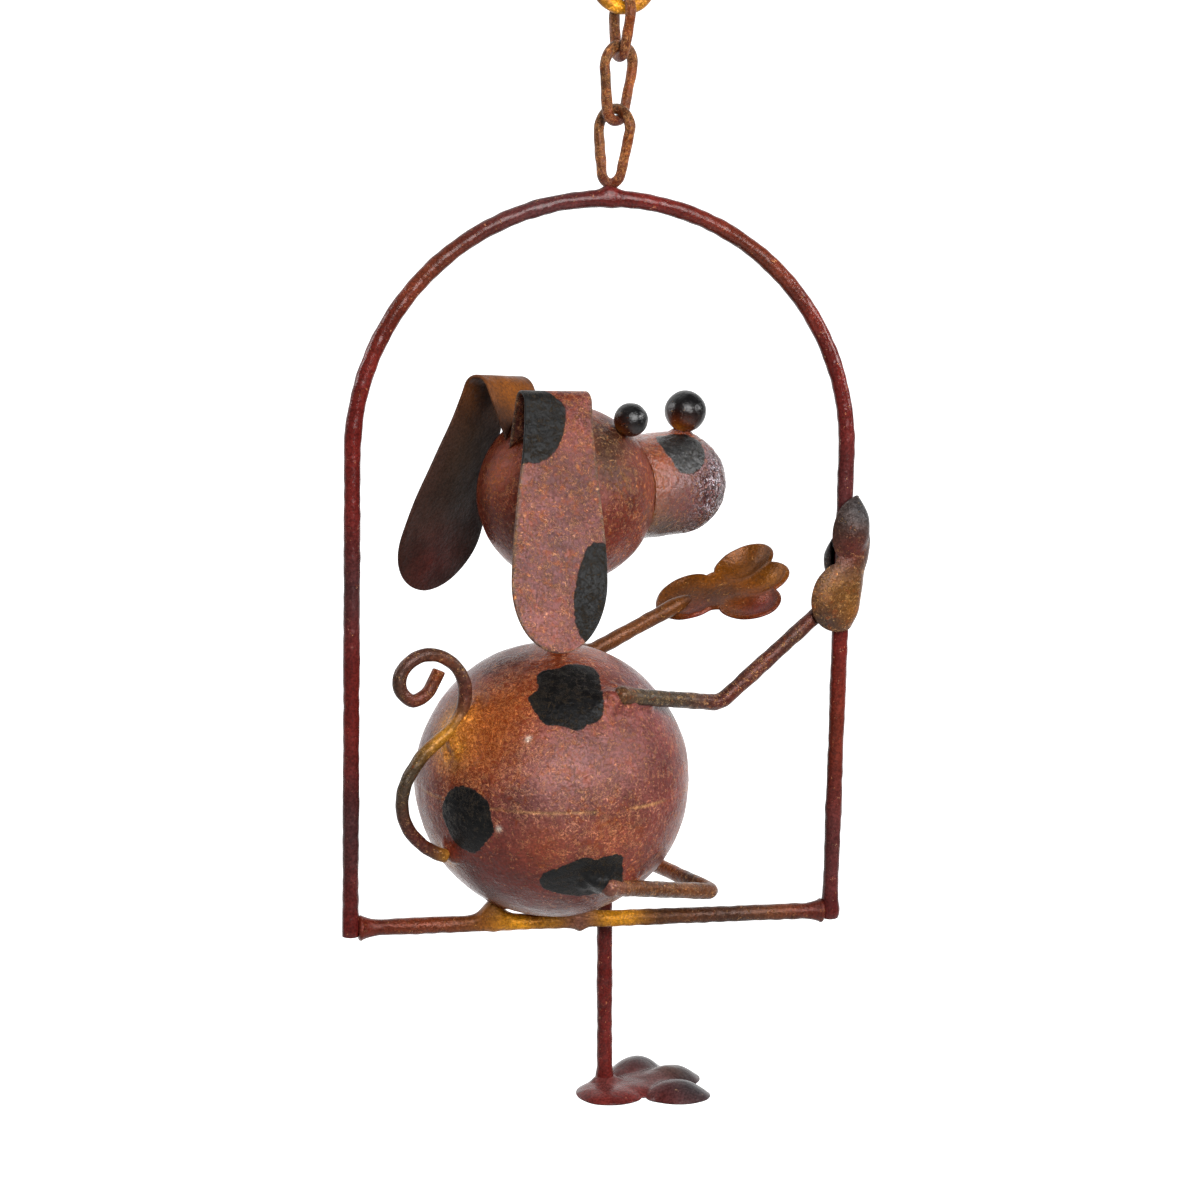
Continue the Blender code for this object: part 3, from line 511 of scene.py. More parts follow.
def bar_points(path, radius, closed=False, sides=24, lumps=(), edges=(0.25, 0.25)):
    """A swept bar whose radius is uneven. Each lump (place, reach, height) adds a bell of its distance."""
    swell = bpy.context.scene.dog_rods.swell
    size = radius + swell * ripple(path, 0.012, radius * 1000)
    for place, reach, height in lumps:
        size = size + height * np.exp(-(np.linalg.norm(path - place, axis=1) / reach) ** 2)
    points = sweep(path, size, sides, closed, edges)
    centre = points.mean(axis=1, keepdims=True)
    return centre + (points - centre) * (1 + swell / radius * ripple(points, 0.004, 3.0))[..., None]


def make_rod(name, node, line, radius, finish, base, zones=(), wear=0.3, **shape):
    """A swept bar along a line, painted, as the piece that replaces one node."""
    points = bar_points(line, radius, **shape)
    closed = shape.get("closed", False)
    make_piece(name, points, finish, painted(points, base, zones), [node], closed, wear=wear)


def ball_directions(rows, columns, band=0.0):
    """Directions of a ball's grid from pole to pole; with a band, rows crowd within that many degrees of the
    ball's middle."""
    lift = np.linspace(-90, 90, rows)
    if band:
        lift = np.concatenate([np.linspace(-90, -band, rows // 2), np.linspace(-band, band, 17)[1:-1],
                               np.linspace(band, 90, rows // 2)])
    lift, turn = np.radians(lift)[:, None], np.linspace(0, 2 * math.pi, columns, endpoint=False)[None]
    return np.stack([np.cos(lift) * np.cos(turn), np.cos(lift) * np.sin(turn), np.sin(lift) + 0 * turn],
                    axis=-1)


# Paint

def painted(points, base, zones=()):
    """Paint colour of each point: the base, then each zone (place, reach, colour, strength) laid over it with
    a weight of strength times a bell of the distance."""
    colours = bpy.context.scene.dog_colours
    paint = np.broadcast_to(np.array(getattr(colours, base)), (*points.shape[:-1], 3)).copy()
    for place, reach, name, strength in zones:
        away = np.linalg.norm(points - place, axis=-1) / reach
        weight = (strength * np.exp(-away ** 2))[..., None]
        paint = paint * (1 - weight) + np.array(getattr(colours, name)) * weight
    return paint


def zones_at(centre, rows):
    """Zones from rows of an offset from the centre and a reach, both in millimetres, and a zone's rest."""
    return [(centre + np.array(offset) * MM, reach * MM, *rest) for offset, reach, *rest in rows]


def raised(points, base, zones=()):
    """A value per point: the base plus each zone (place, reach, amount) as a bell of the distance."""
    value = np.full(points.shape[:-1], float(base))
    for place, reach, amount in zones:
        value += amount * np.exp(-(np.linalg.norm(points - place, axis=-1) / reach) ** 2)
    return value


def outline_distance(places, corners):
    """Distance in the plane from each place to a closed smooth outline through corners, negative inside."""
    corners = np.asarray(corners, float)
    outline = catmull_rom(np.concatenate([corners[-1:], corners, corners[:2]]), 4)
    nearest = np.full(places.shape[:-1], 1e3)
    inside = np.zeros(places.shape[:-1], bool)
    for start, end in zip(outline, np.roll(outline, -1, axis=0)):
        nearest = np.minimum(nearest, line_distance(places, start, end))
        crosses = (start[1] > places[..., 1]) != (end[1] > places[..., 1])
        slope = (end[0] - start[0]) / (end[1] - start[1] if end[1] != start[1] else 1e-9)
        inside ^= crosses & (places[..., 0] < start[0] + (places[..., 1] - start[1]) * slope)
    return np.where(inside, -nearest, nearest)


def patch_on_ball(directions, radius, corners):
    """Distance in millimetres from a patch on a ball. Its corners, in millimetres from the ball's centre, and
    the points are laid flat across the direction of the patch's middle."""
    corners = np.asarray(corners, float)
    out = unit(corners.mean(axis=0))
    side = unit(np.cross(UP, out))
    axes = np.stack([side, np.cross(out, side)], axis=-1)
    away = outline_distance(directions @ axes * radius / MM, corners @ axes)
    return np.where(directions @ out > 0, away, NO_PATCH)


# Materials

def add_node(tree, kind, inputs=(), **settings):
    """A node with its settings; each input is linked to a socket or set to a value."""
    node = tree.nodes.new(kind)
    for name, value in settings.items():
        setattr(node, name, value)
    for key, value in dict(inputs).items():
        if isinstance(value, bpy.types.NodeSocket):
            tree.links.new(value, node.inputs[key])
        else:
            node.inputs[key].default_value = value
    return node


def between(tree, value, low, high, bottom=0.0, top=1.0):
    """The value mapped smoothly from low..high to bottom..top."""
    return add_node(tree, "ShaderNodeMapRange", {"Value": value, "From Min": low, "From Max": high,
                                                "To Min": bottom, "To Max": top},
                    interpolation_type="SMOOTHSTEP").outputs[0]


def calc(tree, operation, first, second=0.0):
    """Result of one arithmetic step."""
    return add_node(tree, "ShaderNodeMath", {0: first, 1: second}, operation=operation).outputs[0]


def blend(tree, share, first, second, kind="MIX"):
    """Two colours mixed by a share."""
    return add_node(tree, "ShaderNodeMix", {0: share, 6: first, 7: second}, data_type="RGBA",
                    blend_type=kind).outputs[2]


def enamel_group():
    """Colour, roughness and height of old enamel at a place. Clouds shade the paint, streaks bare an amber
    ground, curling hair lines show the metal and brighten it as painted glints, wrinkle grooves carry painted
    shade and their crests painted highlights, and a black patch covers them inside its ragged edge."""
    found = bpy.data.node_groups.get("old enamel")
    if found:
        return found
    tree = bpy.data.node_groups.new("old enamel", "ShaderNodeTree")
    for name, kind in (("Place", "Vector"), ("Paint", "Color"), ("Amber", "Color"), ("Gold", "Color"),
                       ("Black", "Color"), ("Patch", "Float"), ("Wear", "Float"), ("Wrinkle", "Float"),
                       ("Sheen", "Float")):
        tree.interface.new_socket(name, in_out="INPUT", socket_type=f"NodeSocket{kind}")
    for name, kind in (("Color", "Color"), ("Roughness", "Float"), ("Height", "Float")):
        tree.interface.new_socket(name, in_out="OUTPUT", socket_type=f"NodeSocket{kind}")
    given = tree.nodes.new("NodeGroupInput").outputs
    place, wear = given["Place"], given["Wear"]

    def here(scale, detail=4.0, distortion=0.0):
        """Noise at the given place."""
        return add_node(tree, "ShaderNodeTexNoise", {"Vector": place, "Scale": scale, "Detail": detail,
                                                    "Roughness": 0.6, "Distortion": distortion}).outputs[0]

    def times(first, second):
        """Product of two values."""
        return calc(tree, "MULTIPLY", first, second)

    def plus(first, second):
        """Sum of two values."""
        return calc(tree, "ADD", first, second)

    def lines(value, width):
        """1 where a noise value is within width of its middle, 0 away from it: thin curling lines."""
        away = calc(tree, "ABSOLUTE", calc(tree, "SUBTRACT", value, 0.5))
        return between(tree, away, 0.0, width, 1.0, 0.0)

    cloud = here(75.0, 6.0, 0.4)
    shade = times(between(tree, cloud, 0.32, 0.68, 0.72, 1.28),
                  between(tree, here(1500.0, 3.0), 0.3, 0.7, 0.62, 1.38))
    shade = add_node(tree, "ShaderNodeCombineColor", {0: shade, 1: shade, 2: shade}).outputs[0]
    paint = blend(tree, 1.0, given["Paint"], shade, "MULTIPLY")

    bare = between(tree, plus(here(340.0, 8.0, 1.4), times(wear, 0.14)), 0.62, 0.76)
    paint = blend(tree, times(bare, 0.5), paint, given["Amber"])

    rubbed = times(wear, 0.20)
    hair = times(lines(here(430.0, 2.0, 1.8), 0.036),
                 between(tree, plus(here(700.0, 2.0), rubbed), 0.61, 0.66))
    fine = times(lines(here(900.0, 2.0, 1.2), 0.060),
                 between(tree, plus(here(420.0, 3.0), rubbed), 0.63, 0.74))
    scratches_and_glints = calc(tree, "MAXIMUM", hair, times(fine, 0.75))
    # Painted glints: the hair lines are scratches to the gold metal, and their colour, the paint made 4.5
    # times brighter, also stands in for the soft boxes' sparkle on the glossy paint
    light = add_node(tree, "ShaderNodeVectorMath", {0: paint, 1: (4.5, 4.5, 4.5)}, operation="MULTIPLY")
    light = blend(tree, 0.40, light.outputs[0], given["Gold"])
    paint = blend(tree, times(scratches_and_glints, 0.9), paint, light)

    field = here(620.0, 1.0, 1.2)
    shaded_grooves = times(lines(field, 0.09), given["Wrinkle"])
    crest_glints = times(lines(calc(tree, "SUBTRACT", field, 0.10), 0.050),
                   times(given["Wrinkle"], between(tree, here(200.0), 0.38, 0.54)))
    # Painted shade: the wrinkle grooves are darkened towards black, where shade falls in them
    paint = blend(tree, times(shaded_grooves, 0.55), paint, given["Black"])
    # Painted highlights: pale lines along the wrinkle crests stand in for glints of the soft boxes
    paint = blend(tree, times(crest_glints, 0.9), paint, (0.62, 0.56, 0.62, 1.0))

    ragged = times(calc(tree, "SUBTRACT", here(700.0, 4.0), 0.5), 1.6)
    patch = between(tree, plus(given["Patch"], ragged), -0.12, 0.16, 1.0, 0.0)
    dull = blend(tree, between(tree, cloud, 0.40, 0.75, 0.0, 0.5), given["Black"],
                 (0.010, 0.010, 0.009, 1.0))
    dull = blend(tree, times(scratches_and_glints, 0.05), dull, given["Gold"])
    colour = blend(tree, patch, paint, dull)

    rough = times(given["Sheen"], between(tree, here(160.0, 4.0), 0.3, 0.7, 0.75, 1.3))
    rough = plus(rough, times(patch, 0.10))
    height = plus(times(here(800.0, 5.0), 0.8), times(scratches_and_glints, -0.5))
    for part in (times(here(260.0, 3.0), 0.8), times(patch, 0.25), times(shaded_grooves, -2.6)):
        height = plus(height, part)
    add_node(tree, "NodeGroupOutput", {"Color": colour, "Roughness": rough, "Height": height})
    return tree


def enamel(kind):
    """Material of one finish: old enamel over metal. Paint, patch, wear and wrinkles come from the piece's
    own points."""
    name = kind + " enamel"
    found = bpy.data.materials.get(name)
    if found:
        return found
    sheen, metallic, shine, bump = FINISHES[kind][1:]
    colours = bpy.context.scene.dog_colours
    finish = bpy.data.materials.new(name)
    finish.use_nodes = True
    tree = finish.node_tree
    shader = tree.nodes["Principled BSDF"]
    look = add_node(tree, "ShaderNodeGroup", node_tree=enamel_group())
    tree.links.new(add_node(tree, "ShaderNodeTexCoord").outputs["Object"], look.inputs["Place"])
    for label, key, part in (("tint", "Paint", "Color"), ("patch", "Patch", "Fac"), ("wear", "Wear", "Fac"),
                             ("wrinkle", "Wrinkle", "Fac")):
        own = add_node(tree, "ShaderNodeAttribute", attribute_name=label)
        tree.links.new(own.outputs[part], look.inputs[key])
    for key in ("amber", "gold", "black"):
        look.inputs[key.capitalize()].default_value = (*getattr(colours, key), 1.0)
    look.inputs["Sheen"].default_value = sheen
    relief = add_node(tree, "ShaderNodeBump", {"Height": look.outputs["Height"], "Strength": 0.9,
                                               "Distance": bump})
    tree.links.new(look.outputs["Color"], shader.inputs["Base Color"])
    tree.links.new(look.outputs["Roughness"], shader.inputs["Roughness"])
    tree.links.new(relief.outputs["Normal"], shader.inputs["Normal"])
    shader.inputs["Metallic"].default_value = metallic
    shader.inputs["Specular IOR Level"].default_value = shine
    return finish


# Places shared by several pieces

def root_and_joint(contact, reach):
    """Where a limb rod lies on the body and its first joint: the rod touches the ball at a direction and runs
    across it, so the reach loses what points into the ball."""
    normal = unit(contact)
    radius = bpy.context.scene.dog_rods.limb_rod / 2
    touch = BODY_AT + normal * (BODY_R + radius)
    step = np.array(reach) - normal * (np.array(reach) @ normal)
    return touch - unit(step) * LIMB_ROOT, touch + step


def limb_lines():
    """Corner points of both arms and both legs, and the middle of the right hand's grip."""
    rod = bpy.context.scene.dog_rods.hoop_rod
    grip = np.array([HOOP_HIGH[0] - rod / 2, 0.0, HOOP_LOW[2] + rod / 2 + GRIP_HEIGHT])
    lines = {name: list(root_and_joint(*LIMB_ROOTS[name])) for name in LIMB_ROOTS}
    lines["arm_right"].append(grip + WRIST_RIGHT)
    lines["arm_left"].append(lines["arm_left"][1] + FOREARM_LEFT)
    lines["leg_right"].append(lines["leg_right"][1] + np.array(SHIN_RIGHT) * BODY_R)
    ankle = BODY_AT + ANKLE_LEFT
    return {**lines, "leg_left": [ankle, ankle + SHIN_LEFT], "grip": grip}


def tail_line():
    """The tail's curl: knots in body radii forward and up from the lower weld, joined by a smooth curve."""
    wire = bpy.context.scene.dog_rods.tail_wire
    foot = BODY_AT + unit(TAIL_CONTACT) * (BODY_R + wire / 2)
    knots = [foot + (heading(TAIL_AZIMUTH) * ahead + UP * rise) * BODY_R for ahead, rise in TAIL_RATIOS]
    knots = np.array([knots[0], *knots, knots[-1]])
    return even_steps(np.concatenate([catmull_rom(knots), knots[-1:]]), STEP)


def muzzle_tip():
    """Centre of the muzzle's round end."""
    return HEAD_AT + heading(HEAD_AZIMUTH, MUZZLE_RISE) * MUZZLE_REACH


# Operators, one for each group of like pieces

class BuildChain(bpy.types.Operator):
    """Hanging ring and three pear-shaped links"""

    bl_idname = "metal_dog.chain"
    bl_label = "Chain"

    def execute(self, context):
        """Builds the ring, then each link on the straight line from ring to hoop."""
        rods = context.scene.dog_rods
        turn = np.linspace(0, 2 * math.pi, 96, endpoint=False)
        radius = RING_INNER_RADIUS + rods.ring_wire / 2
        line = np.stack([radius * np.cos(turn), 0 * turn, radius * np.sin(turn) - RING_INNER_RADIUS],
                        axis=1)
        make_rod("hanging_ring", "hang_ring", line, rods.ring_wire / 2, "rust brown", "copper",
                 [((0, 0, -0.0125), 0.006, "yellow", 0.9), ((0, 0.003, -0.011), 0.004, "yellow", 0.6)],
                 0.6, closed=True, sides=28)

        boxes = {name: corners_of(name) for name in LINK_TURNS}
        run = sum(high[2] - low[2] - rods.link_wire for low, high in boxes.values())
        rise = unit([-(HOOP_LOW[0] + HOOP_HIGH[0]) / 2 / run, 0.0, 1.0])
        for name, (low, high) in boxes.items():
            size = high[2] - low[2]
            top = size / 2 - rods.link_wire / 2 - LINK_TOP_RADIUS
            foot = -size / 2 + rods.link_wire / 2 + LINK_FOOT_RADIUS
            slope = math.asin((LINK_TOP_RADIUS - LINK_FOOT_RADIUS) / (top - foot))
            share = np.linspace(0, 1, 30)
            upper = -slope + (math.pi + 2 * slope) * share
            lower = math.pi + slope + (math.pi - 2 * slope) * share
            wide = np.concatenate([LINK_TOP_RADIUS * np.cos(upper), LINK_FOOT_RADIUS * np.cos(lower)])
            tall = np.concatenate([top + LINK_TOP_RADIUS * np.sin(upper),
                                   foot + LINK_FOOT_RADIUS * np.sin(lower)])
            middle, across = (low + high) / 2, heading(LINK_TURNS[name])
            line = middle + across * wide[:, None] + rise * tall[:, None]
            make_rod(name + "_wire", name, even_steps(line, STEP, True), rods.link_wire / 2, "red brown",
                     "copper", [(middle - rise * size / 2, 0.006, "maroon", 0.85),
                                (middle + rise * size / 2, 0.005, "umber", 0.6),
                                (middle + across * 0.005, 0.005, "amber", 0.6)], 0.9, closed=True, sides=20)
        return {"FINISHED"}


class BuildHoop(bpy.types.Operator):
    """Arched hoop and the seat bar with its weld lumps"""

    bl_idname = "metal_dog.hoop"
    bl_label = "Hoop and bar"

    def execute(self, context):
        """Builds the hoop with lumps where its rods meet, then the bar with the welds under the body."""
        rod = context.scene.dog_rods.hoop_rod
        middle = (HOOP_LOW[0] + HOOP_HIGH[0]) / 2
        radius = (HOOP_HIGH[0] - HOOP_LOW[0] - rod) / 2
        spring = HOOP_HIGH[2] - rod / 2 - radius
        seat = HOOP_LOW[2] + rod / 2
        turn = np.linspace(math.pi, 0, 161)
        arc = np.stack([middle + radius * np.cos(turn), 0 * turn, spring + radius * np.sin(turn)], axis=1)
        line = np.concatenate([[[middle - radius, 0, HOOP_LOW[2]]], arc,
                               [[middle + radius, 0, HOOP_LOW[2]]]])
        top = np.array([middle, 0, HOOP_HIGH[2] - rod / 2])
        left, right = np.array([middle - radius, 0, seat]), np.array([middle + radius, 0, seat])
        points = bar_points(even_steps(line, 0.0007), rod / 2,
                            lumps=[(top, 0.0028, 0.0004), (left, 0.0034, 0.0005), (right, 0.0034, 0.0005)])
        saddle = smooth_step(0.1, 0.9, (points[..., 2] - top[2]) / (rod / 2))
        points[..., 2] += 0.0012 * saddle * np.exp(-((points[..., 0] - middle) / 0.0026) ** 2)
        points[..., 2] = np.minimum(points[..., 2], CAD_BOX[1][2])
        paint = painted(points, "maroon", [
            (left + UP * 0.03, 0.018, "charcoal", 0.60), (left + UP * 0.10, 0.016, "charcoal", 0.55),
            ((middle - 0.050, 0, spring + 0.052), 0.022, "copper", 0.45),
            ((middle - 0.020, 0, spring + 0.069), 0.020, "charcoal", 0.50),
            ((middle + 0.045, 0, spring + 0.056), 0.022, "copper", 0.40),
            (right + UP * 0.125, 0.018, "charcoal", 0.45), (right + UP * 0.02, 0.022, "charcoal", 0.45),
            (right + UP * 0.055, 0.020, "copper", 0.25), (top, 0.006, "maroon", 0.8)])
        make_piece("hoop_rod", points, "maroon", paint, ["hoop"], wear=-0.1)

        reach = radius - rod / 2 + 0.0002
        line = np.stack([middle + np.linspace(-reach, reach, 420), np.zeros(420), np.full(420, seat)],
                        axis=1)
        points = bar_points(line, rod / 2, lumps=[(line[0], 0.0032, 0.0014), (line[-1], 0.0028, 0.0012)])
        lift = (points[..., 2] - seat) / (rod / 2)
        for across, width, drip in zip(WELD_LUMPS_X, (0.0036, 0.0042), (0.0002, 0.0011)):
            place = BODY_AT[0] + across
            ball = BODY_AT[2] - math.sqrt(BODY_R ** 2 - across ** 2)
            bell = np.exp(-((points[..., 0] - place) / width) ** 2)
            drop = np.exp(-((points[..., 0] - place) / 0.0016) ** 2)
            points[..., 2] += (ball - seat - rod / 2 + 0.0006) * bell * smooth_step(0.0, 0.7, lift)
            points[..., 2] -= drip * drop * smooth_step(0.3, 1, -lift)
            points[..., 1] *= 1 + 0.30 * bell
        paint = painted(points, "copper", [
            (line[0], 0.010, "maroon", 0.9), (line[40], 0.020, "red", 0.6),
            ((BODY_AT[0] - 0.0172, 0, seat), 0.0045, "maroon", 0.75),
            ((BODY_AT[0] - 0.0075, 0, seat), 0.0095, "yellow", 1.0),
            ((BODY_AT[0] - 0.0050, 0, seat + rod * 0.5), 0.0034, "maroon", 0.9),
            ((BODY_AT[0] + 0.0088, -0.002, seat), 0.0045, "mauve_and_sheen", 0.7),
            ((BODY_AT[0] + 0.0200, 0, seat), 0.007, "yellow", 0.85),
            ((middle + 0.040, 0, seat), 0.016, "umber", 0.7), (line[-1], 0.012, "maroon", 0.85)])
        make_piece("seat_rod", points, "red brown", paint, ["seat_bar"], wear=0.1)
        return {"FINISHED"}


class BuildBalls(bpy.types.Operator):
    """Body, neck and head, with the weld metal beside every rod that meets them"""

    bl_idname = "metal_dog.balls"
    bl_label = "Balls"

    def execute(self, context):
        """Builds both balls and the neck between them."""
        rods, sheets = context.scene.dog_rods, context.scene.dog_sheets
        self.body(rods, sheets, context.scene.dog_colours)
        self.head(rods, sheets)
        way = unit(HEAD_AT - BODY_AT)
        line = even_steps(np.array([BODY_AT + way * (BODY_R - MM), HEAD_AT - way * (HEAD_R - MM)]), STEP)
        make_rod("neck_rod", "neck", line, rods.neck_rod / 2, "red brown", "maroon")
        return {"FINISHED"}

    def body(self, rods, sheets, colours):
        """The body's radius: dents, the seam's groove and raised edges, and weld metal beside each rod."""
        limbs, tail = limb_lines(), tail_line()
        ways = ball_directions(176, 352, 4.0)
        points = BODY_AT + ways * BODY_R
        lift = points[..., 2] - BODY_AT[2]
        groove, edges = np.exp(-(lift / 0.0004) ** 2), np.exp(-(lift / 0.0013) ** 2)
        radius = BODY_R + sheets.dent * (ripple(points, 0.021, 1.0) + 0.35 * ripple(points, 0.007, 2.0))
        radius -= sheets.seam * (groove - 0.7 * edges)
        half = rods.limb_rod / 2
        for name, height in LIMB_WELDS.items():
            root, joint = limbs[name][:2]
            way = unit(joint - root)
            for start, end, fill, reach in ((0, LIMB_ROOT * 1.8, height, 0.0017),
                                            (-MM, 3 * MM, 0.9, 0.0030)):
                radius += mound(points, root + way * start, root + way * end, half, sheets.weld * fill,
                                reach,
                                height)
        wire = rods.tail_wire / 2
        cross = tail[np.argmin(np.linalg.norm(tail[60:] - BODY_AT, axis=1)) + 60]
        seat = HOOP_LOW[2] + rods.hoop_rod / 2
        seats = [np.array([BODY_AT[0] + across, 0.0, seat]) for across in WELD_LUMPS_X]
        for weld in ((*limbs["leg_left"], half, 0.0010, 0.0016),
                     (BODY_AT, HEAD_AT, rods.neck_rod / 2, 0.0012, 0.0016),
                     (tail[0], tail[6], wire, 0.0017, 0.0015),
                     (cross - UP * 4 * MM, cross + UP * 4 * MM, wire, 0.0021, 0.0034),
                     *((foot, foot, rods.hoop_rod / 2 + MM, 0.0014, 0.0030) for foot in seats)):
            radius += mound(points, *weld)
        points = BODY_AT + ways * radius[..., None]
        patch = np.min([patch_on_ball(ways * flip, BODY_R, corners)
                        for flip, corners in ((1, PATCH_TOP), (1, PATCH_BACK), (1, PATCH_LOW),
                                              ((1, -1, 1), PATCH_BACK))], axis=0)
        paint = painted(points, "red", zones_at(BODY_AT, BODY_PAINT))
        wear = raised(points, 0.45, zones_at(BODY_AT, BODY_WEAR))
        line = 0.3 * groove * smooth_step(-0.6, 0.5, ripple(points, 0.018, 8.0))
        paint += (np.array(colours.gold) - paint) * line[..., None]
        make_piece("body_ball", points, "red brown", paint, ["body"], patch=patch, wear=wear)

    def head(self, rods, sheets):
        """The head's radius: dents and weld metal at the neck, the eyes and the ears."""
        ways = ball_directions(132, 264)
        points = HEAD_AT + ways * HEAD_R
        radius = HEAD_R + sheets.dent * (0.8 * ripple(points, 0.017, 4.0) + 0.3 * ripple(points, 0.006,
                                                                                         5.0))
        radius += mound(points, BODY_AT, HEAD_AT - UP * HEAD_R, rods.neck_rod / 2, 0.0012, 0.0016)
        for eye in (EYE_AT, EYE_LEFT_AT):
            radius += mound(points, eye, eye, EYE_R, 0.0007, 0.0009)
        for name in EARS:
            root, across = ear_frame(name)[:2]
            reach = across * EARS[name]["neck"] / 2
            radius += mound(points, root - reach, root + reach, sheets.ear_sheet / 2, 0.0007, 0.0011)
        points = HEAD_AT + ways * radius[..., None]
        paint = painted(points, "red", zones_at(HEAD_AT, HEAD_PAINT))
        wear = raised(points, 0.45, zones_at(HEAD_AT, HEAD_WEAR))
        make_piece("head_ball", points, "red brown", paint, ["head"], wear=wear)


class BuildFace(bpy.types.Operator):
    """Muzzle cup with its wrinkled tip, nose and eyes"""

    bl_idname = "metal_dog.face"
    bl_label = "Face"

    def execute(self, context):
        """Builds the muzzle as a turned cup, then the three black balls."""
        sheets = context.scene.dog_sheets
        axis, tip = heading(HEAD_AZIMUTH, MUZZLE_RISE), muzzle_tip()
        side = unit(np.cross(axis, UP))
        over = np.cross(side, axis)
        back = HEAD_R + GAP
        seat = math.asin(MUZZLE_RADIUS / back)
        hollow = np.linspace(0, seat, 12)[:-1]
        dome = np.linspace(0, math.pi / 2, 100)
        straight = np.linspace(back * math.cos(seat) + CUP_EDGE, MUZZLE_REACH, 60)[:-1]
        lip = np.linspace(0, math.pi / 2, 6)
        out = np.concatenate([back * np.sin(hollow), MUZZLE_RADIUS - CUP_EDGE * (1 - np.sin(lip)),
                              np.full_like(straight, MUZZLE_RADIUS), MUZZLE_RADIUS * np.cos(dome)])
        along = np.concatenate([back * np.cos(hollow), straight[0] - CUP_EDGE * np.cos(lip), straight,
                                MUZZLE_REACH + MUZZLE_RADIUS * np.sin(dome)])
        turn = np.linspace(0, 2 * math.pi, 300, endpoint=False)
        around = side * np.cos(turn)[:, None] + over * np.sin(turn)[:, None]
        points = HEAD_AT + axis * along[:, None, None] + around[None] * out[:, None, None]
        ahead = (points - tip) @ axis
        skin = unit(points - tip - axis * np.minimum(ahead, 0)[..., None])
        rough = sheets.dent * (0.7 * ripple(points, 0.013, 6.0) + 0.5 * ripple(points, 0.004, 7.0))
        rough += mound(points, NOSE_AT, NOSE_AT, NOSE_R, 0.0011, 0.0012)
        creased = smooth_step(-0.008, 0.004, ahead)
        rough -= 0.00024 * creased * np.exp(-(ripple(points, 0.0034, 9.0) / 0.26) ** 2)
        outer = (np.arange(len(out)) >= len(hollow) + len(lip))[:, None]
        points = points + skin * (rough * outer)[..., None]

        patch = patch_on_ball((points - tip) / MUZZLE_RADIUS, MUZZLE_RADIUS, PATCH_MUZZLE)
        ahead = (points - tip) @ axis
        patch = np.where(ahead > -0.011, patch, NO_PATCH)
        paint = painted(points, "mauve_and_sheen", [*zones_at(tip, MUZZLE_PAINT), (NOSE_AT, 0.0085, "amber", 1.0)])
        wrinkle = smooth_step(-0.006, 0.004, ahead) * smooth_step(-0.5, 3.5, patch)
        make_piece("muzzle_cup", points, "muzzle", paint, ["muzzle"], patch=patch, wear=0.5,
                   wrinkle=wrinkle)

        ways = ball_directions(61, 120)
        for name, centre, radius, foot in (("nose", NOSE_AT, NOSE_R, tip),
                                           ("eye_right", EYE_AT, EYE_R, HEAD_AT),
                                           ("eye_left", EYE_LEFT_AT, EYE_R, HEAD_AT)):
            points = centre + ways * (radius + 0.00006 * ripple(ways, 0.9, radius * 1000))[..., None]
            weld = unit(unit(foot - centre) + WELD_LEAN)
            paint = painted(points, "black", [(centre + weld * radius * 1.05, radius * 0.65, "amber", 1.0),
                                             (centre + weld * radius * 1.1, radius * 0.35, "yellow", 0.5)])
            wear = raised(points, 0.0, [(centre - weld * radius, radius * 1.5, -0.8)])
            make_piece(name + "_ball", points, "black", paint, [name], wear=wear)
        return {"FINISHED"}


def ear_frame(name):
    """Root, direction across the strip, out, along the stem, and the fold's turn of one ear."""
    ear = EARS[name]
    across = heading(HEAD_AZIMUTH - ear["side"] * ear["turn"])
    out = np.array([across[1], -across[0], 0.0]) * ear["side"]
    roll, rise = math.radians(ear["roll"]), math.radians(ear["rise"])
    across = across * math.cos(roll) + UP * math.sin(roll)
    ahead = heading(HEAD_AZIMUTH)
    right = np.array([ahead[1], -ahead[0], 0.0])
    root = HEAD_AT + ahead * ear["forward"] + right * ear["side"] * ear["out"] + UP * ear["up"]
    stem = out * math.sin(rise) + UP * math.cos(rise)
    return root, across, out, stem, math.pi - math.radians(ear["rise"] + ear["flare"])


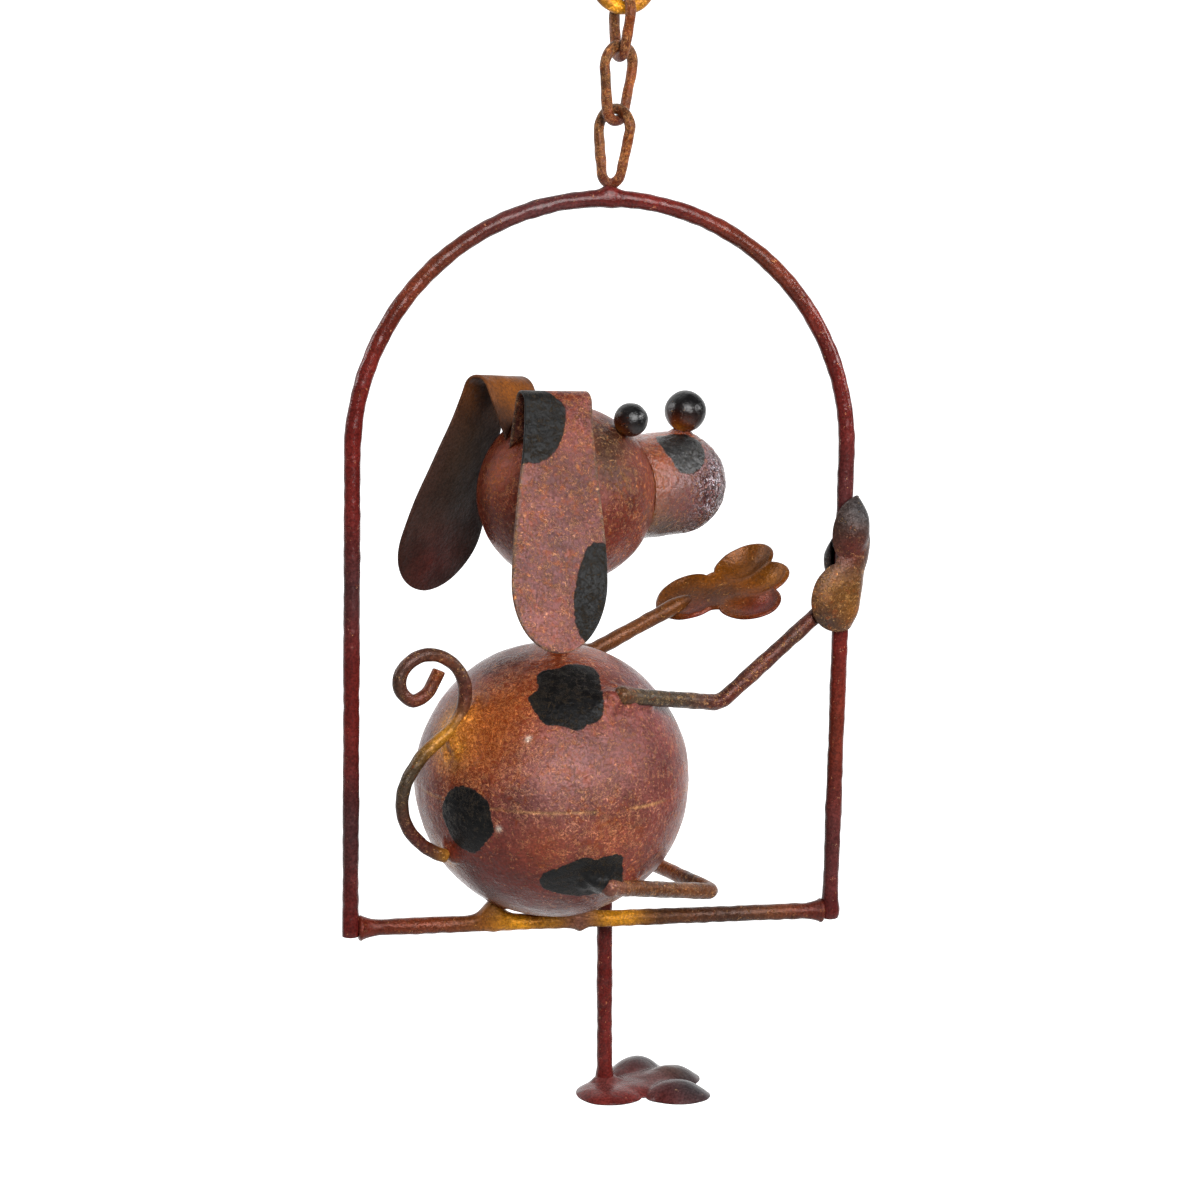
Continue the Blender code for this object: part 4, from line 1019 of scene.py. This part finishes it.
class BuildEars(bpy.types.Operator):
    """Ears, strips of sheet that stand on the head, fold over and hang as leaves"""

    bl_idname = "metal_dog.ears"
    bl_label = "Ears"

    def execute(self, context):
        """Builds both ears."""
        for name in EARS:
            self.one_ear(context.scene.dog_sheets, name)
        return {"FINISHED"}

    def one_ear(self, sheets, name):
        """The strip's middle line rises, turns over a fold and runs straight; its half width is a leaf, and
        each row of points goes round the sheet's edge with half circles for rims."""
        ear = EARS[name]
        root, across, out, stem, turn = ear_frame(name)
        rise = math.radians(ear["rise"])
        fold_end = ear["stem"] + ear["fold"] * turn
        end = 0.9 + 0.1 * np.sin(np.linspace(0, math.pi / 2, 26))[1:]
        travel = np.concatenate([np.linspace(0, ear["stem"], 16)[:-1],
                                 np.linspace(ear["stem"], fold_end, 34)[:-1],
                                 fold_end + ear["blade"] * np.linspace(0, 0.9, 110),
                                 fold_end + ear["blade"] * end])
        angle = np.clip((travel - ear["stem"]) / ear["fold"], 0, turn)
        rest = np.maximum(travel - fold_end, 0)
        over = out * math.cos(rise) - UP * math.sin(rise)
        ahead = stem[None] * np.cos(angle)[:, None] + over[None] * np.sin(angle)[:, None]
        middle = (root + stem * np.minimum(travel, ear["stem"])[:, None]
                  + ear["fold"] * (over * (1 - np.cos(angle))[:, None] + stem * np.sin(angle)[:, None])
                  + ahead * rest[:, None])
        share = rest / ear["blade"]
        middle = middle - across * (ear["back"] * share)[:, None]
        swell = smooth_step(0, EAR_WIDEST, share)
        end = np.clip((share - EAR_WIDEST) / (1 - EAR_WIDEST), 0, 1)
        half = (ear["neck"] + (ear["width"] - ear["neck"]) * swell) / 2 * np.sqrt(1 - end ** 2)
        normal = unit(np.cross(across, ahead)) * ear["side"]
        thick = sheets.ear_sheet / 2
        flat = np.linspace(-1, 1, 30)
        level, edge = np.ones_like(flat), np.ones_like(RIM)
        span = np.concatenate([flat, edge, flat[::-1], -edge])
        past = np.concatenate([0 * level, np.sin(RIM), 0 * level, -np.sin(RIM)])
        lift = np.concatenate([level, np.cos(RIM), -level, -np.cos(RIM)])
        sideways = span[None] * np.maximum(half - thick, 0)[:, None] + past[None] * thick
        lifted = np.broadcast_to(lift * thick, sideways.shape).copy()
        lifted[0], lifted[-1] = 0, 0
        sideways[-1] = 0
        points = middle[:, None] + across * sideways[..., None]
        base = root + across * sideways[..., None] - HEAD_AT
        reach = base @ stem
        drop = np.sqrt(np.maximum(reach ** 2 - (base ** 2).sum(-1) + HEAD_R ** 2, 0)) - reach
        fade = np.clip(1 - travel / ear["stem"], 0, 1)[:, None]
        points = points + stem * (drop * fade)[..., None]
        bow = sheets.dent * 2.2 * ripple(points, 0.024, 2.0 + ear["side"])
        bow = bow * smooth_step(0, 0.2, share)[:, None]
        points = points + normal[:, None] * (lifted + bow)[..., None]

        down = rest[:, None] / MM + 0 * sideways
        if ear["side"] > 0:
            down = np.where(travel[:, None] < ear["stem"] + ear["fold"] * 0.2, -30.0, down
                            + np.minimum(travel - fold_end, 0)[:, None] / MM)
            places = np.stack([down, sideways / MM], axis=-1)
            patch = np.minimum(outline_distance(places, PATCH_EAR_TOP),
                               outline_distance(places, PATCH_EAR_LOW))
            patch = np.where(lift[None] < 0.5, patch, NO_PATCH)
            paint = painted(points, "mauve_and_sheen", [
                (middle[20], 0.012, "red", 0.8), (middle[50] - across * 0.010, 0.007, "copper", 0.8),
                (middle[60], 0.012, "red", 0.25), (middle[90] + across * 0.004, 0.008, "charcoal", 0.35),
                (middle[112], 0.006, "charcoal", 0.3), (middle[78] - across * 0.006, 0.005, "umber", 0.35),
                # Painted sheen: the pale lilac zone low on the leaf stands in for the front soft box's
                # reflection
                (middle[-60], 0.010, "painted_sheen", 0.35), (middle[100], 0.060, "maroon", 0.35),
                (middle[100], 0.050, "umber", 0.30)])
            edge = np.abs(sideways) - np.maximum(half - thick, 0)[:, None]
            gold = np.exp(-(np.minimum(edge, 0) / 0.0004) ** 2)[..., None] * 0.6
            paint = paint * (1 - gold) + np.array(bpy.context.scene.dog_colours.olive) * 1.6 * gold
            make_piece("near_ear", points, "red brown", paint, [name], patch=patch, wear=0.75)
        else:
            paint = painted(points, "umber", [
                (middle[10], 0.010, "ochre", 0.95), (middle[30], 0.011, "ochre", 0.95),
                (middle[75], 0.012, "olive", 0.45), (middle[-80], 0.012, "olive", 0.45),
                (middle[-30], 0.010, "maroon", 0.5)])
            make_piece("far_ear", points, "dark brown", paint, [name], wear=-0.7)


class BuildLimbs(bpy.types.Operator):
    """Arms, legs and the curled tail"""

    bl_idname = "metal_dog.limbs"
    bl_label = "Limbs and tail"

    def execute(self, context):
        """Builds each bent rod along its corner points."""
        rods = context.scene.dog_rods
        limbs = limb_lines()
        radius = rods.limb_rod / 2
        root, elbow, wrist = limbs["arm_right"]
        line = rounded_path([root, elbow, wrist + unit(wrist - elbow) * 0.0012], LIMB_BEND)
        make_rod("right_arm", "arm_right", line, radius, "rust brown", "olive", [
            (root, 0.006, "copper", 0.6), (root * 0.5 + elbow * 0.5, 0.010, "olive", 0.7),
            (elbow - UP * 0.004, 0.012, "maroon", 0.6),
            (wrist * 0.6 + elbow * 0.4 + UP * 0.003, 0.014, "olive", 0.6),
            (wrist * 0.5 + elbow * 0.5 - UP * 0.003, 0.016, "maroon", 0.5), (wrist, 0.006, "maroon", 0.7)],
                 0.5, lumps=[(root, 0.005, 0.0005)], edges=(0.9, 0.3))

        end = limbs["arm_left"][2]
        make_rod("left_arm", "arm_left", rounded_path(limbs["arm_left"], LIMB_BEND), radius, "rust brown",
                 "copper", [(end, 0.009, "ochre", 0.9), (end, 0.0035, "umber", 0.9)], 0.1,
                 lumps=[(end, 0.003, -0.0011)], edges=(0.25, 0.9))

        root, knee, ankle = limbs["leg_right"]
        line = rounded_path(limbs["leg_right"], LIMB_BEND * 0.7)
        make_rod("right_leg", "leg_right", line, radius, "red brown", "copper", [
            (root, 0.006, "mauve_and_sheen", 0.6), (knee, 0.010, "copper", 0.6),
            (knee * 0.6 + ankle * 0.4, 0.012, "amber", 0.6),
            (knee * 0.8 + ankle * 0.2 + UP * 0.002, 0.005, "umber", 0.8), (ankle, 0.015, "maroon", 0.7)],
                 0.5, lumps=[(root, 0.004, 0.0005)], edges=(0.9, 0.25))

        ankle, hip = limbs["leg_left"]
        way = unit(hip - ankle)
        offset = BODY_AT - ankle
        run = offset @ way - math.sqrt(BODY_R ** 2 - (offset @ offset - (offset @ way) ** 2))
        line = even_steps(np.array([ankle - way * GAP, ankle + way * (run + 0.0012)]), STEP)
        make_rod("left_leg", "leg_left", line, radius, "maroon", "maroon",
                 [(ankle + way * 0.02, 0.012, "maroon", 0.5), (line[-1], 0.010, "umber", 0.6)], 0.0,
                 lumps=[(line[0], 0.0028, 0.0006)])

        line = tail_line()
        zones = [(line[int(share * (len(line) - 1))], *rest) for share, *rest in TAIL_PAINT]
        make_rod("curled_tail", "tail", line, rods.tail_wire / 2, "rust brown", "olive", zones, 0.25,
                 sides=20)
        return {"FINISHED"}


def paw_height(x, y, spread):
    """Rise of the pressed sheet: a soft highest value of the lobes' domes. A dome falls as 1 - s² over its
    oval, or as 1 - s⁴ on the flat heel and waist."""
    total = np.zeros_like(x)
    soft = 0.00045
    for reach, long, wide, fans, height in (*PAW_LOBES, PAW_PALM):
        turn = math.radians(fans * spread)
        cx, cy = reach * math.cos(turn), reach * math.sin(turn)
        along = (x - cx) * math.cos(turn) + (y - cy) * math.sin(turn)
        aside = (y - cy) * math.cos(turn) - (x - cx) * math.sin(turn)
        off = (along / long) ** 2 + (aside / wide) ** 2
        dome = height * (1 - (off if height > 0.003 else off ** 2))
        total += np.exp(np.clip(dome / soft, -60, 60))
    return np.maximum(soft * np.log(total), 0)


def paw_reach(angle, spread):
    """Distance from the hub to the outer edge of the lobes: the farthest crossing of a ray with the ovals."""
    ways = np.stack([np.cos(angle), np.sin(angle)])
    edge = np.zeros_like(angle)
    for reach, long, wide, fans in (lobe[:4] for lobe in PAW_LOBES):
        turn = math.radians(fans * spread)
        aim, side = np.array([math.cos(turn), math.sin(turn)]), np.array([-math.sin(turn), math.cos(turn)])
        from_centre = np.array([PAW_HEEL, 0.0]) - aim * reach
        p = np.array([from_centre @ aim / long, from_centre @ side / wide])
        q = np.stack([aim @ ways / long, side @ ways / wide])
        a, b, c = (q * q).sum(0), (p[:, None] * q).sum(0), p @ p - 1
        inside = b * b - a * c
        edge = np.maximum(edge, np.where(inside > 0, (-b + np.sqrt(np.maximum(inside, 0))) / a, 0))
    return edge


def paw_pattern(sheet, spread):
    """Flat-pattern coordinates of the skins of a paw with this fan of toes, from the middle of the hollow
    side out, round the rim and back to the middle of the bulging side: x along the toes, y across, z up from
    the rim. The second value is 1 on the bulging side and -1 on the hollow one."""
    angle = np.linspace(0, 2 * math.pi, 288, endpoint=False)
    rings = np.sin(np.linspace(0, math.pi / 2, 34))
    level = np.ones_like(rings)
    share = np.concatenate([rings, np.ones_like(RIM), rings[::-1]])
    lift = np.concatenate([-level, -np.cos(RIM), level])
    past = np.concatenate([0 * level, np.sin(RIM), 0 * level])
    reach = (paw_reach(angle, spread) - sheet * 0.45)[None] * share[:, None]
    x, y = PAW_HEEL + reach * np.cos(angle), reach * np.sin(angle)
    step = 0.0001
    slope_x = (paw_height(x + step, y, spread) - paw_height(x - step, y, spread)) / (2 * step)
    slope_y = (paw_height(x, y + step, spread) - paw_height(x, y - step, spread)) / (2 * step)
    normal = unit(np.stack([-slope_x, -slope_y, np.ones_like(x)], axis=-1))
    out = np.stack([np.cos(angle), np.sin(angle), 0 * angle], axis=-1)[None]
    flat = np.stack([x, y, paw_height(x, y, spread) + sheet / 2], axis=-1)
    flat = flat + sheet / 2 * (normal * lift[:, None, None] + out * past[:, None, None])
    return flat, np.broadcast_to(lift[:, None], x.shape)


def flat_place(heel, toes, back):
    """Lays a paw's pattern on a flat paw with this heel centre, toe direction and bulging back."""
    back = unit(back)
    toes = unit(toes - back * (toes @ back))
    across = np.cross(back, toes)
    return lambda flat: heel + flat @ np.stack([toes, across, back])


def grip_place(rod):
    """Wraps a paw's pattern round a rod: beyond the rod's front the distance along becomes an angle."""
    facing = heading(GRIP_FACING)
    aside = np.cross(UP, facing)
    turn = math.radians(GRIP_TURN)

    def place(flat):
        """The wrapped places of the pattern's points."""
        x, y, z = flat[..., 0], flat[..., 1], flat[..., 2]
        along = GRIP_HEEL_OFFSET + x * math.sin(turn) - y * math.cos(turn)
        height = x * math.cos(turn) + y * math.sin(turn)
        angle = np.maximum(along, 0) / GRIP_ARC_RADIUS
        outward = facing * np.cos(angle)[..., None] + aside * np.sin(angle)[..., None]
        return (rod + outward * (GRIP_RADIUS + z)[..., None] + aside * np.minimum(along, 0)[..., None]
                + UP * height[..., None])

    return place


class BuildPaws(bpy.types.Operator):
    """Four pressed paws: one grips the hoop, one is held out, one stands and one is behind the body"""

    bl_idname = "metal_dog.paws"
    bl_label = "Paws"

    def execute(self, context):
        """Lays the two patterns out as hands and feet."""
        sheet = context.scene.dog_sheets.paw_sheet
        radius = context.scene.dog_rods.limb_rod / 2
        limbs = limb_lines()
        (hand, side), (foot, side) = paw_pattern(sheet, HAND_FAN), paw_pattern(sheet, FOOT_FAN)

        def skin(flat, place, seed):
            """The laid pattern with a slight unevenness."""
            uneven = context.scene.dog_sheets.dent * 0.6 * ripple(flat, 0.006, seed)
            return place(flat + UP * uneven[..., None])

        def spot(place, fans, reach, spread=HAND_FAN):
            """Laid place at a distance from the heel on a line turned by this many fans."""
            turn = math.radians(fans * spread)
            return place(np.array([reach * math.cos(turn), reach * math.sin(turn), 0.0035]))

        place = grip_place(limbs["grip"])
        points = skin(hand, place, 1.0)
        paint = painted(points, "copper", [
            (spot(place, 0, 0.002), 0.010, "yellow", 0.15),
            (spot(place, 0, -0.010), 0.005, "charcoal", 0.8),
            (spot(place, -1, 0.026), 0.0125, "charcoal", 0.98),
            (spot(place, 0, 0.029), 0.0130, "charcoal", 0.98),
            (spot(place, 1, 0.026), 0.0100, "charcoal", 0.90),
            (spot(place, 1.2, 0.014), 0.005, "maroon", 0.7)])
        wear = raised(points, 0.6, [(spot(place, fans, 0.026), 0.010, -0.6) for fans in (-1, 0, 1)])
        make_piece("right_hand", points, "red brown", paint, ["hand_right"], wear=wear)

        place = flat_place(limbs["arm_left"][1] + HAND_LEFT_HEEL, HAND_LEFT_TOES, HAND_LEFT_BACK)
        points = skin(hand, place, 2.0)
        elbow, end = limbs["arm_left"][1:]
        weld = mound(points, end - unit(end - elbow) * 0.007, end, radius * 0.5, 0.0017, 0.0022)
        points = points - unit(HAND_LEFT_BACK) * (weld * (side < -0.5))[..., None]
        palm = painted(points, "ochre", [
            (spot(place, 0, -0.003), 0.007, "umber", 0.75), (spot(place, 1, 0.006), 0.005, "umber", 0.6),
            (spot(place, 0, 0.012), 0.005, "umber", 0.35), (spot(place, -1, 0.024), 0.007, "olive", 0.35),
            (spot(place, 0, 0.026), 0.004, "yellow", 0.12),
            (spot(place, 1.1, 0.024), 0.0085, "maroon", 0.97),
            (spot(place, 3.0, 0.009), 0.006, "maroon", 0.9)])
        back = painted(points, "maroon", [(spot(place, -1, 0.024), 0.012, "charcoal", 0.9)])
        paint = np.where(side[..., None] > 0.2, back, palm)
        make_piece("left_hand", points, "rust brown", paint, ["hand_left"], wear=0.0)

        ankle, hip = limbs["leg_left"]
        sole = SOLE_DROP + sheet + GAP
        place = flat_place(ankle + (*FOOT_LEFT_HEEL, -sole), heading(FOOT_LEFT_AZIMUTH), UP)
        points = skin(foot, place, 3.0)
        flare = mound(points, ankle, hip, radius, 0.0016, 0.0016)
        points[..., 2] += flare * (side > 0.5)
        dark = [(spot(place, fans, 0.025, FOOT_FAN), 0.0120, "charcoal", 0.97) for fans in (-1, 0, 1)]
        # Painted sheen: the mauve spots on the top of the heel and sole stand in for the soft boxes'
        # reflection there
        paint = painted(points, "maroon", [*dark, (spot(place, 0, 0.012), 0.006, "mauve_and_sheen", 0.45),
                                           (spot(place, 0, -0.002), 0.008, "mauve_and_sheen", 0.35),
                                           (spot(place, -0.5, 0.016), 0.005, "mauve_and_sheen", 0.3),
                                           (spot(place, 0, 0.021), 0.004, "copper", 0.5)])
        make_piece("left_foot", points, "maroon", paint, ["foot_left"], wear=-0.4)

        knee, ankle = limbs["leg_right"][1:]
        shin = unit(ankle - knee)
        place = flat_place(ankle + shin * sole, UP, -shin)
        points = skin(foot, place, 4.0)
        dark = [(spot(place, fans, 0.026, FOOT_FAN), 0.0092, "charcoal", 0.9) for fans in (-1, 0, 1)]
        make_piece("right_foot", points, "red brown", painted(points, "red", dark), ["foot_right"],
                   wear=0.3)
        return {"FINISHED"}


def stand(name, data, place, right, above, behind):
    """A light or camera at a place, with its own X, Y and Z along the three directions."""
    thing = bpy.data.objects.new(name, data)
    turn = np.stack([right, above, behind], axis=1)
    thing.matrix_world = Matrix([[*row, spot] for row, spot in zip(turn, place)] + [[0, 0, 0, 1]])
    bpy.context.scene.collection.objects.link(thing)
    return thing


class BuildStage(bpy.types.Operator):
    """Pale curved floor, white surroundings, soft lights in front, beside and above, and the camera itself"""

    bl_idname = "metal_dog.stage"
    bl_label = "Stage"

    def execute(self, context):
        """Builds the floor, lights and camera."""
        scene = context.scene
        turn = np.linspace(0, math.pi / 2, 24)
        bend = [(BEND_AT[0] + BEND_RADIUS * math.sin(lift), BEND_AT[1] - BEND_RADIUS * math.cos(lift))
                for lift in turn]
        profile = [(FLOOR_FRONT, BEND_AT[1] - BEND_RADIUS), *bend, (BEND_AT[0] + BEND_RADIUS, FLOOR_TOP)]
        rows = [(x, y, z) for x in (-FLOOR_SIDE, FLOOR_SIDE) for y, z in profile]
        count = len(profile)
        mesh = bpy.data.meshes.new("pale_floor")
        mesh.from_pydata(rows, [], [(k, count + k, count + k + 1, k + 1) for k in range(count - 1)])
        mesh.polygons.foreach_set("use_smooth", np.ones(len(mesh.polygons), bool))
        white = bpy.data.materials.new("pale floor")
        white.use_nodes = True
        shader = white.node_tree.nodes["Principled BSDF"]
        shader.inputs["Base Color"].default_value = (0.9, 0.9, 0.9, 1.0)
        shader.inputs["Roughness"].default_value = 0.9
        tree = white.node_tree
        place = add_node(tree, "ShaderNodeTexCoord").outputs["Object"]
        away = add_node(tree, "ShaderNodeSeparateXYZ", {0: place})
        glow = between(tree, away.outputs["Y"], *FLOOR_GLOW)
        glow = add_node(tree, "ShaderNodeCombineColor", {0: glow, 1: glow, 2: glow})
        tree.links.new(glow.outputs[0], shader.inputs["Emission Color"])
        shader.inputs["Emission Strength"].default_value = 1.0
        mesh.materials.append(white)
        floor = bpy.data.objects.new("pale_floor", mesh)
        floor.visible_diffuse = False
        scene.collection.objects.link(floor)

        world = bpy.data.worlds.new("white surroundings")
        world.use_nodes = True
        sky = world.node_tree.nodes["Background"]
        sky.inputs["Color"].default_value = (1.0, 1.0, 1.0, 1.0)
        sky.inputs["Strength"].default_value = SURROUNDINGS
        scene.world = world

        right, view = unit(CAMERA_RIGHT), unit(CAMERA_VIEW)
        above = np.cross(right, view)
        front = CAMERA_AT + right * FRONT_RIGHT + above * FRONT_ABOVE
        for name, (place, size, energy) in {"front softbox": (front, *FRONT_SOFTBOX), **SOFTBOXES}.items():
            lamp = bpy.data.lights.new(name, "AREA")
            lamp.size = size
            lamp.energy = energy
            aim = unit(LIGHTS_AIM - place)
            side = unit(np.cross(aim, UP))
            stand(name, lamp, place, side, np.cross(side, aim), -aim)

        lens = bpy.data.cameras.new("camera")
        lens.lens = CAMERA_LENS
        lens.sensor_width = CAMERA_SENSOR
        lens.clip_start = 0.01
        camera = stand("camera", lens, CAMERA_AT, right, above, -view)
        scene.camera = camera
        scene.view_settings.view_transform = "Standard"
        return {"FINISHED"}


BUILDERS = (BuildChain, BuildHoop, BuildBalls, BuildFace, BuildEars, BuildLimbs, BuildPaws, BuildStage)
GROUPS = {"dog_rods": DogRods, "dog_sheets": DogSheets, "dog_colours": DogColours}


class DogPanel(bpy.types.Panel):
    """Sizes, colours and builders of the metal dog"""

    bl_idname = "VIEW3D_PT_metal_dog"
    bl_label = "Metal dog"
    bl_space_type = "VIEW_3D"
    bl_region_type = "UI"
    bl_category = "Metal dog"

    def draw(self, context):
        """Lists every setting by its group, then a button for each builder."""
        for label in GROUPS:
            group = getattr(context.scene, label)
            box = self.layout.box()
            for name in group.__annotations__:
                box.prop(group, name)
        for builder in BUILDERS:
            self.layout.operator(builder.bl_idname)


def register():
    """Makes the classes known and hangs the settings on the scene."""
    for kind in (*GROUPS.values(), *BUILDERS, DogPanel):
        bpy.utils.register_class(kind)
    for label, group in GROUPS.items():
        setattr(bpy.types.Scene, label, bpy.props.PointerProperty(type=group))


def unregister():
    """Takes the settings and the classes away again."""
    for label in GROUPS:
        delattr(bpy.types.Scene, label)
    for kind in (DogPanel, *reversed(BUILDERS), *GROUPS.values()):
        bpy.utils.unregister_class(kind)


def main():
    register()
    for builder in BUILDERS:
        group, name = builder.bl_idname.split(".")
        getattr(getattr(bpy.ops, group), name)()


if __name__ == "__main__":
    main()
